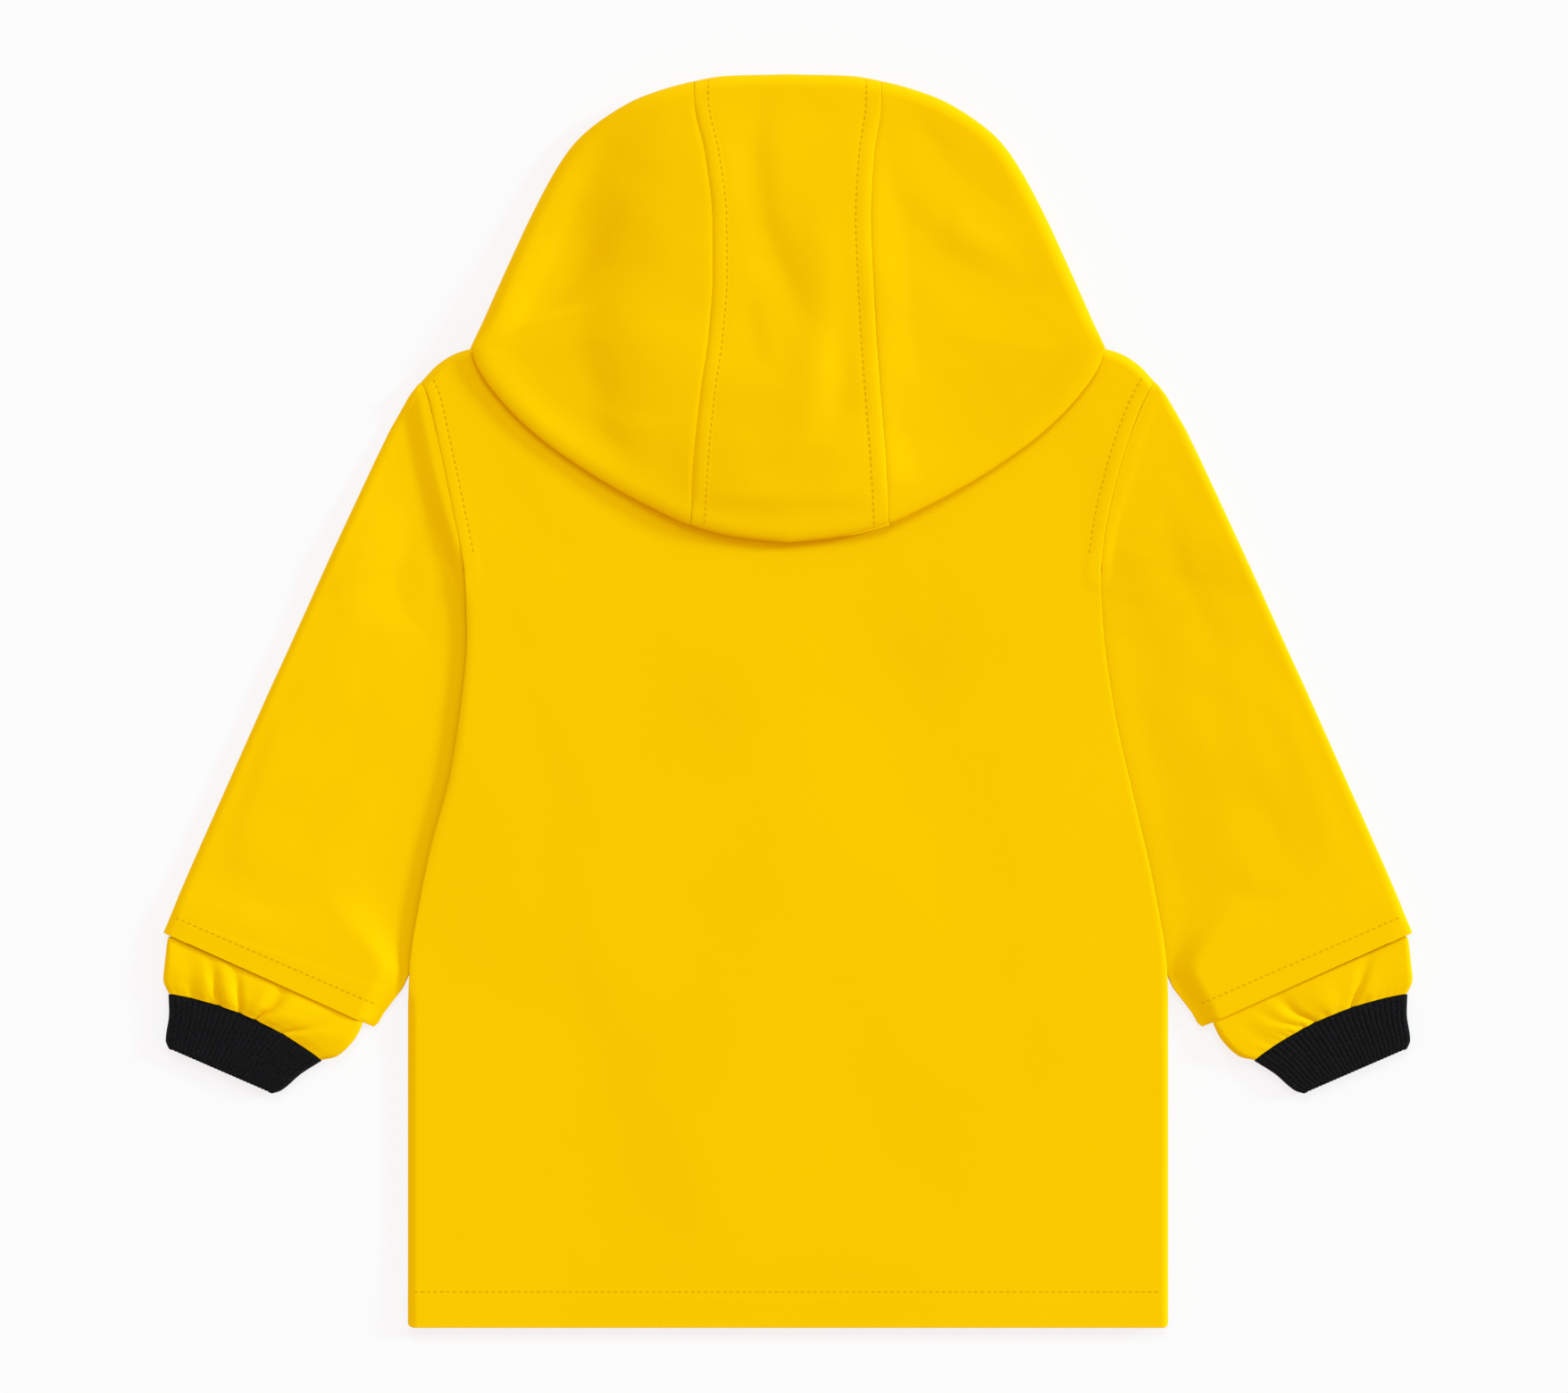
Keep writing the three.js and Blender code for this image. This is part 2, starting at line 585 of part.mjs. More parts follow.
function ribCuff(side) {
  const places = ringPlaces(2 * RIBS - 3, 2 * RIBS - 3, 2);
  const last = ribCuffRows[ribCuffRows.length - 1].along;
  const first = ribCuffRows[0].along;
  const arch = (r) => CUFF_ARCH * ((last - r.along) / (last - first)) ** 1.3;
  const ribbed = (r, w, turn, i) => ({ out: turn > -89 && i % 2 ? RIB_RAISE : 0 });
  const rows = cuffRows(ribCuffRows, places, side, arch, ribbed);
  return new Sheet(RIB_WALL / 2, RIB_WALL / 2)
    .grid(rows, { flip: side > 0, closed: true })
    .solid();
}

// Hood: a middle strip from the brim, over the crown, down to the bottom fold and
// under it to the neck seam, and a side panel each side that wraps round to the face
const sideYs = [295, 290, 282.5, 272, 259, 240, 220, 201, 186, 177];
const foldYs = [161.5, 150, 136, 122, 108, 97, 89];
const seamAt = (side, y) => (side > 0 ? seamRight(y) : seamLeft(y));
const face = path(faceRows);
const faceLine = sample(face, 60);
const crownY = (x) => crossing(hoodSideLine, "x", x, "y");
const foldY = (x) => crossing(hoodFoldLine, "x", x, "y");
const brimY = (x) => crossing(faceLine, "x", x, "y");
const rollEdges = rollSteps.map((s) => s * HOOD_ROLL);

function hoodMiddle() {
  const shares = [-1, -0.6, -0.2, 0.2, 0.6, 1];
  const topX = (t) => Math.abs(t) * (HOOD_SEAM_TOP - SEAM / 2);
  const crown = (t) => crownY(topX(t));
  const bottom = (t) => foldY(Math.abs(t) * 47);
  const neck = (t) => backNeckY(t * 40);
  const strip = (places, layer) =>
    places.map((place) =>
      shares.map((t) => {
        const y = place(t);
        const half = layer === "table" ? HOOD_SEAM_TOP : seamAt(Math.sign(t) || 1, y);
        const x = t * (half - (layer === "overBack" ? SEAM : SEAM / 2));
        const z = layer === "table" && y < crown(t) - HOOD_ROLL;
        return [x, y, z ? FLOOR_Z : hoodHeight(x, y, layer)];
      }),
    );
  const between = (from, to, count) =>
    Array.from({ length: count - 1 }, (_, i) => (t) => mix(from(t), to(t), (i + 1) / count));
  const down = rollEdges.map((d) => (t) => crown(t) - d);
  const up = rollEdges.map((d) => (t) => bottom(t) + d);
  const table = [(t) => brimY(topX(t)), ...between((t) => brimY(topX(t)), down[3], 2)];
  table.push(down[3], down[2], down[1]);
  const over = [...down, ...between(down[3], up[3], 12), up[3], up[2], up[1], up[0]];
  const beneath = [up[1], up[2], up[3], ...between(up[3], neck, 5), neck];
  const rows = [
    ...strip(table, "table"),
    ...strip(over, "top"),
    ...strip(beneath, "overBack"),
  ];
  return new Sheet(CLOTH / 2, CLOTH / 2).grid(rows, { flip: true }).solid();
}

// The hood's edge along the front neckline, a seam's gap inside the front's own
const frontNeckXs = [60, 46, 24.5];
const hoodNeckline = [...frontNeckXs, 0.2].map((x) => ({
  x: Math.max(x - (0.35 * x) / NECK_HALF, 0.2),
  y: frontNeckY(x) + SEAM,
}));
hoodNeckline.unshift({ x: HOOD_NECK.x - 2, y: HOOD_NECK.y - 1.4 });

function hoodSidePanel(side) {
  const sheet = new Sheet(CLOTH / 2, CLOTH / 2);
  const lift = (x, y, layer) => [side * x, y, hoodHeight(side * x, y, layer)];
  const seam = (y) => seamAt(side, y) + SEAM / 2;
  const onLine = (line) => (y) => ({ x: crossing(line, "y", y, "x"), y });
  const tip = { x: seam(HOOD_TOP_Y), y: crownY(seam(HOOD_TOP_Y)) };
  const end = { x: seam(HOOD_FOLD_Y), y: foldY(seam(HOOD_FOLD_Y)) };
  const outer = [tip, ...sideYs.map(onLine(hoodSideLine)), hoodCorner];
  const bottom = [hoodCorner, ...foldYs.map(onLine(hoodFoldLine)), end];
  // Across a row, with the last steps round the roll at the outline
  const across = (inner, p, layer) => {
    const from = Math.min(inner, p.x);
    const roll = Math.min(HOOD_ROLL, (p.x - from) * 0.5);
    const flat = [0, 1, 2, 3, 4].map((i) => mix(from, p.x - roll, i / 5));
    const rolled = [...rollSteps].reverse().map((s) => p.x - roll * s);
    return [...flat, ...rolled].map((x) => lift(x, p.y, layer));
  };
  const top = [...outer, ...bottom.slice(1)].map((p) => across(seam(p.y), p, "top"));
  sheet.grid(top, { flip: side > 0 });

  // Under layer on the back, from the fold up to the neck seam and shoulder
  const shoulder = [138, 124, 110, 96, 82].map((x) => ({ x, y: shoulderY(x) }));
  shoulder.push(HOOD_NECK);
  const neckX = (y) =>
    NECK_HALF * Math.sqrt(Math.max(0, 1 - (NECK_Y - y) / BACK_NECK_DROP));
  const inner = (y) => Math.max(seam(y), neckX(y));
  const beneath = [...bottom].reverse().map((p) => across(seam(p.y), p, "overBack"));
  shoulder.forEach((p) => beneath.push(across(inner(p.y), p, "overBack")));
  sheet.grid(beneath, { flip: side > 0 });

  // Under layer on the surface, from the outline in to the face opening
  const ring = [...outer, ...shoulder, ...hoodNeckline];
  const brim = { x: tip.x, y: brimY(tip.x) };
  const shareAt = (y) => faceLine.findIndex((p) => p.y <= y) / (faceLine.length - 1);
  const start = shareAt(brim.y);
  const middle = shareAt(HOOD_NECK.y + 3);
  const turn = ring.length - hoodNeckline.length - 1;
  const table = ring.map((p, i) => {
    const before = mix(start, middle, i / turn);
    const after = mix(middle, 1, (i - turn) / hoodNeckline.length);
    const q = i ? face(i > turn ? after : before) : brim;
    const far = Math.hypot(q.x - p.x, q.y - p.y);
    const steps = rollEdges.map((d) => Math.min(d, far * 0.5) / far);
    [0.4, 1].forEach((s) => steps.push(mix(steps[3], 1, s)));
    return steps.map((s) => {
      const x = mix(p.x, q.x, s);
      const y = mix(p.y, q.y, s);
      return i > turn ? [side * x, y, FLOOR_Z] : lift(x, y, "table");
    });
  });
  sheet.grid(table, { flip: side > 0 });
  return sheet.solid();
}

// A closed press stud: cap on the outside, post through both fronts, ring inside
const STUD_CAP = { r: 6, low: 0.15, thick: 0.55 };
const STUD_POST_R = 2.4;
const STUD_RING = { r: 5, low: 3.1, thick: 0.6 };
const studYs = Array.from({ length: STUD_COUNT }, (_, i) => STUD_TOP_Y - i * STUD_PITCH);
function stud() {
  const capTop = STUD_CAP.low + STUD_CAP.thick;
  const ringTop = STUD_RING.low + STUD_RING.thick;
  const profile = [
    [0, STUD_CAP.low],
    [STUD_CAP.r - 0.4, STUD_CAP.low],
    [STUD_CAP.r, STUD_CAP.low + 0.3],
    [STUD_CAP.r, capTop],
    [STUD_POST_R, capTop],
    [STUD_POST_R, STUD_RING.low],
    [STUD_RING.r, STUD_RING.low],
    [STUD_RING.r, ringTop],
    [0, ringTop],
  ].map(([r, z]) => new THREE.Vector2(r, z));
  return new THREE.LatheGeometry(profile, 12).rotateX(Math.PI / 2);
}
function discAt(y, r, low, high) {
  const disc = new THREE.CylinderGeometry(r, r, high - low, 12);
  return disc.rotateX(Math.PI / 2).translate(0, y, (low + high) / 2);
}

// Solids for cutting, made from geometry and back
function manifoldOf(geometry) {
  const bare = geometry.clone();
  bare.deleteAttribute("normal");
  bare.deleteAttribute("uv");
  const merged = mergeVertices(bare, 1e-4);
  return new wasm.Manifold(
    new wasm.Mesh({
      numProp: 3,
      vertProperties: new Float32Array(merged.attributes.position.array),
      triVerts: new Uint32Array(merged.index.array),
    }),
  );
}
function geometryOf(solid) {
  const { vertProperties, triVerts } = solid.getMesh();
  const geometry = new THREE.BufferGeometry();
  geometry.setAttribute("position", new THREE.BufferAttribute(vertProperties, 3));
  geometry.setIndex(new THREE.BufferAttribute(triVerts, 1));
  return geometry;
}
// Holes for the posts, and a shallow dent under each cap in the outer front
function withStudHoles(geometry, dented) {
  let solid = manifoldOf(geometry);
  for (const y of studYs) {
    const hole = discAt(y, STUD_POST_R + SEAM, -1, 6);
    solid = solid.subtract(manifoldOf(hole));
    if (!dented) continue;
    const dent = discAt(y, STUD_CAP.r + 0.4, -1, STUD_CAP.low + STUD_CAP.thick + 0.1);
    solid = solid.subtract(manifoldOf(dent));
  }
  return geometryOf(solid);
}

const cloth = { color: 0xfaca02, roughness: 0.5, metalness: 0 };
const knit = { color: 0x17161a, roughness: 0.9, metalness: 0 };
const enamel = { color: 0xf2c40a, roughness: 0.35, metalness: 0.2 };

const coat = new THREE.Group();
function add(name, geometry, finish) {
  geometry.computeVertexNormals();
  const mesh = new THREE.Mesh(geometry, new THREE.MeshStandardMaterial(finish));
  mesh.name = name;
  coat.add(mesh);
  return mesh;
}

add("back_panel", backPanel(), cloth);
add("front_left", withStudHoles(frontPanel(-1), true), cloth);
add("front_right", withStudHoles(frontPanel(1), false), cloth);
for (const [name, side] of [
  ["left", -1],
  ["right", 1],
]) {
  add("sleeve_" + name, sleeve(side), cloth);
  add("inner_cuff_" + name, innerCuff(side), cloth);
  add("rib_cuff_" + name, ribCuff(side), knit);
  add("hood_side_" + name, hoodSidePanel(side), cloth);
}
add("hood_middle", hoodMiddle(), cloth);
studYs.forEach((y, i) => {
  add("press_stud_" + (i + 1), stud(), enamel).position.y = y;
});

export default coat;
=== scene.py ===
# A child's yellow hooded raincoat, laid flat on its front, as a dressed model of the frame.
# Tables and heights are in millimetres; meshes are made in metres.
import math

import bpy
import numpy as np
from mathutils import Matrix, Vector


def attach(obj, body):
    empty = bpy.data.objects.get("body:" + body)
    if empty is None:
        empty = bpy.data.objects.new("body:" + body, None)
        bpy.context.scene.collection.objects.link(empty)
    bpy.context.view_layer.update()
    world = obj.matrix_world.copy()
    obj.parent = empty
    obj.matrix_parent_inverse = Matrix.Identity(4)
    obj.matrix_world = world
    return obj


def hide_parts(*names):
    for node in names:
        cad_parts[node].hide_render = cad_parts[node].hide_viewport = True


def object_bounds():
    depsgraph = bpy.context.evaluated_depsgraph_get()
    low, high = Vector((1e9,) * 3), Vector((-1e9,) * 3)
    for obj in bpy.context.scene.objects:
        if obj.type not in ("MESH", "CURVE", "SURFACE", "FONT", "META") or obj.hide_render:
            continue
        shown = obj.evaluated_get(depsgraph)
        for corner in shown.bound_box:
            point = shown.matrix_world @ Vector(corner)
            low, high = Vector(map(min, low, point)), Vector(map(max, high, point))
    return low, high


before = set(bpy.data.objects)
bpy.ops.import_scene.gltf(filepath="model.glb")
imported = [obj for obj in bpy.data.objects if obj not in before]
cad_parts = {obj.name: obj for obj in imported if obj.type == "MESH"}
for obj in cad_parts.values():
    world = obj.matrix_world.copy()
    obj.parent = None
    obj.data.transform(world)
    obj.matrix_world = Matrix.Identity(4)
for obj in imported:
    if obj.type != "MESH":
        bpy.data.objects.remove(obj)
cad_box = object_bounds()

MM = 0.001
PIXEL, FRAME_WIDTH = 0.43, 1756  # millimetres a pixel, and pixels across the photo
CLOTH = 1.2
CUFF_CLOTH = 1.0
KNIT_CLOTH = 1.4
SEAM = 0.3
SEWN = 0.02  # what is left of that gap where the seam is drawn shut
RIM = 0.3  # rounding of a cut or turned edge
HEM_Y = -301.9
HEM_DEPTH = 17.5
HEM_CORNER = 2.2  # radius of the body's lower corners
SLEEVE_HEM_DEPTH = 9.5
SLEEVE_CORNER = (300.8, -111.8)  # outer corner of the sleeve's hem
CUFF_IN_Y, CUFF_BEYOND = -157, 13.7  # the cuffs' inner end, and how far it is from the body
CUFF_START, CUFF_END = -22, 25.7
CUFF_ARCH = 5
RIB_START, RIB_END = 26.1, 50
RIB_HEIGHT = 0.55
RIBS = 27
NECK_HALF = 68
NECK_Y = 197
BACK_NECK_DROP = 17
FRONT_NECK_DROP = 61
LAP_START, LAP_END = 19.6, 25.5  # the right front steps up over the left one between these
TIP_X, TIP_Y = 176, 152.7  # shoulder tip
UNDERARM_Y = 68  # above it the sleeves are sewn to the body
CROWN_Y, FOLD_Y = 301.9, 76.1  # the hood's highest and lowest point
HOOD_CORNER = (152.6, 169.9)  # where its side meets its fold
INSET_CORNER_X = 152  # the same corner, half the cloth's thickness further in
ARM_STITCH = 6
HOOD_STITCH = 7
STITCH_PITCH, STITCH_LENGTH, THREAD_WIDTH = 3.1, 2.3, 0.42
GROOVE_WIDTH, GROOVE_DEPTH = 0.9, 0.22

FLOOR_Z = CLOTH / 2
SECOND_Z = FLOOR_Z + CLOTH + SEAM
BACK_Z = 5.6
BACK_HEM_Z = 5.0
TUCK_Z = SECOND_Z + CLOTH + 0.5
OVER_BACK_Z = BACK_Z + CLOTH + SEAM
HOOD_EDGE_Z = 11.6
HOOD_DOME = 3.2
HOOD_ROLL = 6.5
HOOD_SEAM_TOP = 45
HOOD_NECK = (69, 200.6)


def table(names, *rows):
    """Rows of a table as a dictionary of its named columns."""
    return dict(zip(names.split(), np.array(rows, float).T))


# The body's half width on the right side
BODY = table(
    "y half",
    (HEM_Y, 183),
    (-150, 183),
    (-130, 182.5),
    (-93, 176.9),
    (-50, 167.3),
    (-6, 157.4),
    (37, 151.6),
    (60, 150.6),
    (80, 152.6),
    (114, 160.3),
    (146, 172),
    (TIP_Y, TIP_X),
)
# How far the left edge and armhole lie outside the right ones, as in the photo
LEFT_SHIFT = table(
    "y out",
    (HEM_Y, 0),
    (-70, 0),
    (-40, -1.2),
    (-10, 0.5),
    (15, 1.5),
    (30, 2.5),
    (45, 3.9),
    (63, 5.3),
    (80, 6.4),
    (90, 6.8),
    (109, 6),
    (118, 5.4),
    (130, 4),
    (142, 1.8),
    (TIP_Y, 0),
)
# How low the back's edge comes down
BODY_EDGE = table(
    "y z",
    (HEM_Y, SECOND_Z),
    (-151, SECOND_Z),
    (-138, TUCK_Z + 0.3),
    (40, TUCK_Z + 0.4),
    (UNDERARM_Y, BACK_Z),
    (CROWN_Y, BACK_Z),
)
SHOULDER = table(
    "x y",
    (NECK_HALF, NECK_Y),
    (110, 184),
    (152.4, 169.9),
    (160.6, 167.2),
    (168.8, 162),
    (TIP_X, 154.4),
)
# Sections of a sleeve: its outer and inner edge, how far the upper layer is beyond the body's
# edge (or under it, where negative), its height there, and the width of its slope up from there
SLEEVE = table(
    "out_x out_y in_y beyond z slope",
    (178.5, 151.9, 154.2, SEAM, BACK_Z, 1),
    (182.5, 146.6, 148, SEAM, BACK_Z, 1),
    (186.4, 139.8, 141.5, SEAM, BACK_Z, 1),
    (191.5, 131, 134, SEAM, BACK_Z, 1),
    (199, 115.5, 121, SEAM, BACK_Z, 1),
    (209, 94, 104, SEAM, BACK_Z, 1),
    (219, 72.5, 88, SEAM, BACK_Z, 3),
    (227, 55, 75, SEAM, 5.2, 8),
    (234, 39.5, 64, SEAM, 3.9, 14),
    (241, 24, 52, -3, 2.7, 18),
    (250, 4.5, 36, -8, SECOND_Z, 22),
    (260, -18, 8, -8, SECOND_Z, 24),
    (270, -40.5, -26, -8, SECOND_Z, 24),
    (280, -63, -62, -8, SECOND_Z, 20),
    (288, -81, -96, -7, SECOND_Z, 15),
    (293.5, -94, -122, -4, SECOND_Z, 10),
    (297, -102.8, -138.5, 3, SECOND_Z, 13),
    (299.7, -109.2, -150.6, 12.1, SECOND_Z, 10),
    (300.6, -111.3, -155.4, 14.8, SECOND_Z, 9),
    (*SLEEVE_CORNER, -157.1, 16.8, SECOND_Z, 9),
)
ARM_VALLEY = {-1: 2.7, 1: 0.4}  # depth of the valley beside the body
# The hood's outline, from the crown to its corner and on along the fold
HOOD_SIDE = table(
    "x y",
    (0, CROWN_Y),
    (28.8, 301.2),
    (46, 298.4),
    (70.5, 291.1),
    (89, 280.8),
    (101.5, 270.5),
    (109.4, 260.2),
    (121, 239.5),
    (135.5, 208.6),
    (144.7, 187.9),
    HOOD_CORNER,
)
HOOD_FOLD = table(
    "x y",
    HOOD_CORNER,
    (149.8, 161.3),
    (137.5, 144),
    (119.8, 126.9),
    (102, 114),
    (84.7, 103.2),
    (68.8, 94.6),
    (46.6, 84.4),
    (25.6, 79),
    (0, FOLD_Y),
)
# Where the hood's seams run, from the middle
HOOD_SEAM = table(
    "y left right",
    (FOLD_Y, 47, 49.2),
    (115, 45, 47),
    (150, 41.5, 44.2),
    (175, 38, 42.4),
    (205, 36, 40.8),
    (232, 36.2, 39.8),
    (262, 39.6, 41.4),
    (290, HOOD_SEAM_TOP, HOOD_SEAM_TOP),
    (CROWN_Y, HOOD_SEAM_TOP, HOOD_SEAM_TOP),
)
# The face opening
FACE = table(
    "x y",
    (0, 283),
    (25, 279),
    (45, 266),
    (56, 246),
    (58, 224),
    (51, 198),
    (38, 173),
    (20, 151),
    (0.2, 142),
)
# Sections of the cuffs: how far down the arm, their ends across it, heights, and gathers
INNER_CUFF = table(
    "along start end low high gather",
    (CUFF_START, 6, 104, 2.6, 4.2, 0),
    (0, 5, 104, 2.6, 4.3, 0),
    (1.2, 3.2, 104.4, 2.2, 4.7, 0.2),
    (3.5, 3.6, 104.8, 1.5, 5.1, 0.4),
    (8, 4.9, 104.6, 0.6, 5.7, 0.8),
    (14, 6.8, 103.2, 0.6, 6.1, 1.1),
    (21, 9.2, 99.8, 0.6, 5.7, 1.2),
    (CUFF_END, 14, 93.8, 0.6, 4.7, 0.8),
)
RIB_CUFF = table(
    "along start end low high",
    (RIB_START, 14.2, 93.6, 0.85, 4.3),
    (36, 18.7, 86.9, 0.85, 4.3),
    (47, 21.8, 81.4, 0.85, 4.2),
    (RIB_END, 24.8, 78, 0.85, 4),
)

# Folds run softly from a to b and bow sideways. A row is ax, ay, bx, by, bow, the widths on
# either side, so that no fold is an even groove, and the rise, which is negative in a trough.
HOOD_FOLDS = [
    (-94, 286, -94, 108, 16, 20, 40, -1.7),
    (-98, 226, -96, 108, 3, 20, 44, -1.5),
    (-84, 236, -130, 178, -4, 7, 12, -1.0),
    (-16, 285, 5, 188, 8, 8, 11, -1.2),
    (16, 236, 6, 122, -5, 9, 11, 1.0),
    (-46, 97, 42, 98, -3, 26, 8, 1.4),
    (50, 268, 66, 112, -4, 44, 13, -1.9),
    (48, 244, 112, 196, 7, 10, 16, -0.8),
    (60, 122, 134, 162, 5, 12, 14, -0.9),
    (-104, 262, -128, 200, -3, 8, 8, 0.5),
    (-18, 196, -14, 160, 2, 6, 8, -0.5),
    (24, 176, 22, 132, -3, 6, 8, -0.5),
    (52, 160, 62, 108, 4, 7, 9, -0.5),
    (78, 232, 104, 214, 3, 8, 10, 0.6),
    (62, 284, 96, 240, 6, 8, 12, -0.5),
    (-110, 150, -64, 128, 3, 8, 10, 0.5),
    (-44, 128, 40, 124, 4, 8, 11, 0.4),
]
BACK_FOLDS = [
    (-120, -30, -60, -250, 16, 18, 28, -0.4),
    (-172, -90, -160, -310, 0, 55, 40, -1.3),
    (20, 60, 110, -190, -14, 24, 34, -0.4),
    (-60, 70, 60, -130, -10, 26, 36, 0.4),
    (-140, 60, -100, -70, 9, 14, 24, -0.4),
    (-146, 118, -96, 60, 5, 10, 16, -0.3),
    (144, 116, 104, 44, -6, 11, 15, -0.3),
    (120, -90, 150, -240, 6, 16, 24, 0.25),
]
SLEEVE_FOLDS = [
    (178, 96, 214, 20, 6, 8, 14, -0.5),
    (200, 30, 236, -70, 7, 9, 14, -0.5),
    (232, 10, 262, -78, -5, 8, 12, 0.45),
    (212, -90, 262, -96, 5, 6, 9, -0.35),
]


def mix(a, b, t):
    return a + (b - a) * t


def soft_max(a, b, blend):
    """The larger of the two, rounded over where they come within `blend`."""
    near = np.maximum(0, blend - np.abs(a - b)) / blend
    return np.maximum(a, b) + near**2 * blend / 4


def smoothstep(x, low, high):
    t = np.clip((x - low) / (high - low), 0, 1)
    return t * t * (3 - 2 * t)


def column(rows, key, name):
    """One column of a table at places in another, smooth and without overshoot."""
    xs, ys = rows[key], rows[name]
    if xs[0] > xs[-1]:
        xs, ys = xs[::-1], ys[::-1]
    width = np.diff(xs)
    slope = np.diff(ys) / width
    before = np.concatenate([slope[:1], slope])
    after = np.concatenate([slope, slope[-1:]])
    both = before * after
    total = np.where(both > 0, before + after, 1)
    slopes = np.where(both > 0, 2 * both / total, 0)

    def at(places):
        p = np.clip(np.asarray(places, float), xs[0], xs[-1])
        i = np.clip(np.searchsorted(xs, p, "right") - 1, 0, len(width) - 1)
        t = (p - xs[i]) / width[i]
        u = 1 - t
        ends = ys[i] * u * u * (1 + 2 * t) + ys[i + 1] * t * t * (1 + 2 * u)
        return ends + width[i] * t * u * (slopes[i] * u - slopes[i + 1] * t)

    return at


def path(rows):
    """A path through a table's points, by its share of the length."""
    steps = np.hypot(np.diff(rows["x"]), np.diff(rows["y"]))
    length = np.concatenate([[0], np.cumsum(steps)])
    rows = {**rows, "length": length}
    x, y = column(rows, "length", "x"), column(rows, "length", "y")

    def at(share):
        return x(share * length[-1]), y(share * length[-1])

    return at


def line(curve, count):
    """Evenly spaced points of a path, as rows of x and y."""
    return np.stack(curve(np.linspace(0, 1, count + 1)), 1)


def crossing(points, along, at):
    """The other coordinate of a line where coordinate `along` passes a value."""
    a, b = points[:-1], points[1:]
    hits = (a[:, along] - at) * (b[:, along] - at) <= 0
    hits &= a[:, along] != b[:, along]
    if not hits.any():
        return points[-1, 1 - along]
    a, b = a[hits][0], b[hits][0]
    t = (at - a[along]) / (b[along] - a[along])
    return mix(a[1 - along], b[1 - along], t)


def inset(points, depth):
    """A line moved to its right by a depth, and kept on its side of the middle."""
    ahead = np.concatenate([points[1:], points[-1:]])
    behind = np.concatenate([points[:1], points[:-1]])
    d = ahead - behind
    d /= np.linalg.norm(d, axis=1)[:, None]
    moved = points + np.stack([d[:, 1], -d[:, 0]], 1) * depth
    moved[:, 0] = np.maximum(moved[:, 0], 0)
    return moved


def resampled(points, count):
    """A line with another number of points."""
    at = np.linspace(0, len(points) - 1, count)
    return np.stack([np.interp(at, np.arange(len(points)), points[:, k]) for k in (0, 1)], 1)


def distance(points, x, y):
    """How far places lie from a line."""
    best = np.full(np.shape(x), np.inf)
    for a, b in zip(points[:-1], points[1:]):
        d = b - a
        t = np.clip(((x - a[0]) * d[0] + (y - a[1]) * d[1]) / (d @ d), 0, 1)
        best = np.minimum(best, np.hypot(x - a[0] - t * d[0], y - a[1] - t * d[1]))
    return best


def fold_height(folds, x, y):
    """What a list of folds adds to the height at places."""
    height = np.zeros(np.shape(x))
    for ax, ay, bx, by, bow, near, far, rise in folds:
        dx, dy = bx - ax, by - ay
        length = math.hypot(dx, dy)
        t = ((x - ax) * dx + (y - ay) * dy) / length**2
        s = np.clip(t, -0.3, 1.3)
        off = ((x - ax) * dy - (y - ay) * dx) / length - bow * 4 * s * (1 - s)
        ends = smoothstep(np.minimum(t, 1 - t), -0.2, 0.3)
        width = np.where(off < 0, near, far)
        height += rise * ends * np.exp(-((off / width) ** 2))
    return height


def ripple(x, y, size, seed, waves=9):
    """Soft uneven ripples about `size` across, from -1 to 1 or so."""
    rng = np.random.default_rng(seed)
    total = np.zeros(np.shape(x))
    for _ in range(waves):
        turn, phase = rng.uniform(0, 2 * math.pi, 2)
        rate = 2 * math.pi / (size * rng.uniform(0.7, 1.7))
        total += np.sin((x * math.cos(turn) + y * math.sin(turn)) * rate + phase)
    return total / math.sqrt(waves)


def ease_off(q):
    """Falls from 1 to 0 as q goes from 0 to 1."""
    return np.where(q < 1, (1 - np.minimum(q, 1)) ** 2, 0)


def dome(q):
    """A quarter circle's height as q goes from 0 to 1."""
    return np.sqrt(1 - (1 - np.clip(q, 0, 1)) ** 2)


def quarter_turn(count):
    """Shares from 0 to 1 that are even steps round a quarter circle."""
    return 1 - np.cos(np.radians(np.linspace(0, 90, count)))


body_half = column(BODY, "y", "half")
body_edge_z = column(BODY_EDGE, "y", "z")
left_shift = column(LEFT_SHIFT, "y", "out")
shoulder_y = column(SHOULDER, "x", "y")
seam_half = {-1: column(HOOD_SEAM, "y", "left"), 1: column(HOOD_SEAM, "y", "right")}
LINE_STEPS = 60
outline = np.concatenate([line(path(HOOD_SIDE), LINE_STEPS), line(path(HOOD_FOLD), LINE_STEPS)[1:]])
outline = inset(outline, CLOTH / 2)
hood_corner = np.array([INSET_CORNER_X, float(shoulder_y(INSET_CORNER_X))])
outline[LINE_STEPS] = hood_corner
side_line, fold_line = outline[: LINE_STEPS + 1], outline[LINE_STEPS:]
face_path = path(FACE)
face_line = line(face_path, LINE_STEPS)
shoulder_xs = np.linspace(NECK_HALF, TIP_X, 55)
shoulder_line = np.stack([shoulder_xs, shoulder_y(shoulder_xs)], 1)


def name_of(side):
    return "right" if side > 0 else "left"


def edge_half(y, side):
    """Half the body's width at a height, on either side."""
    return body_half(y) + np.where(np.asarray(side) < 0, left_shift(y), 0)


def edge_lines(low, high, count):
    """The body's edge between two heights, on the left and on the right."""
    ys = np.linspace(low, high, count)
    return {side: np.stack([edge_half(ys, side), ys], 1) for side in (-1, 1)}


body_lines = edge_lines(HEM_Y, UNDERARM_Y, 60)
armhole_lines = edge_lines(60, TIP_Y, 30)


def beside(lines, x, y):
    """How far places lie from the line on their own side."""
    out = np.abs(x)
    return np.where(x < 0, distance(lines[-1], out, y), distance(lines[1], out, y))


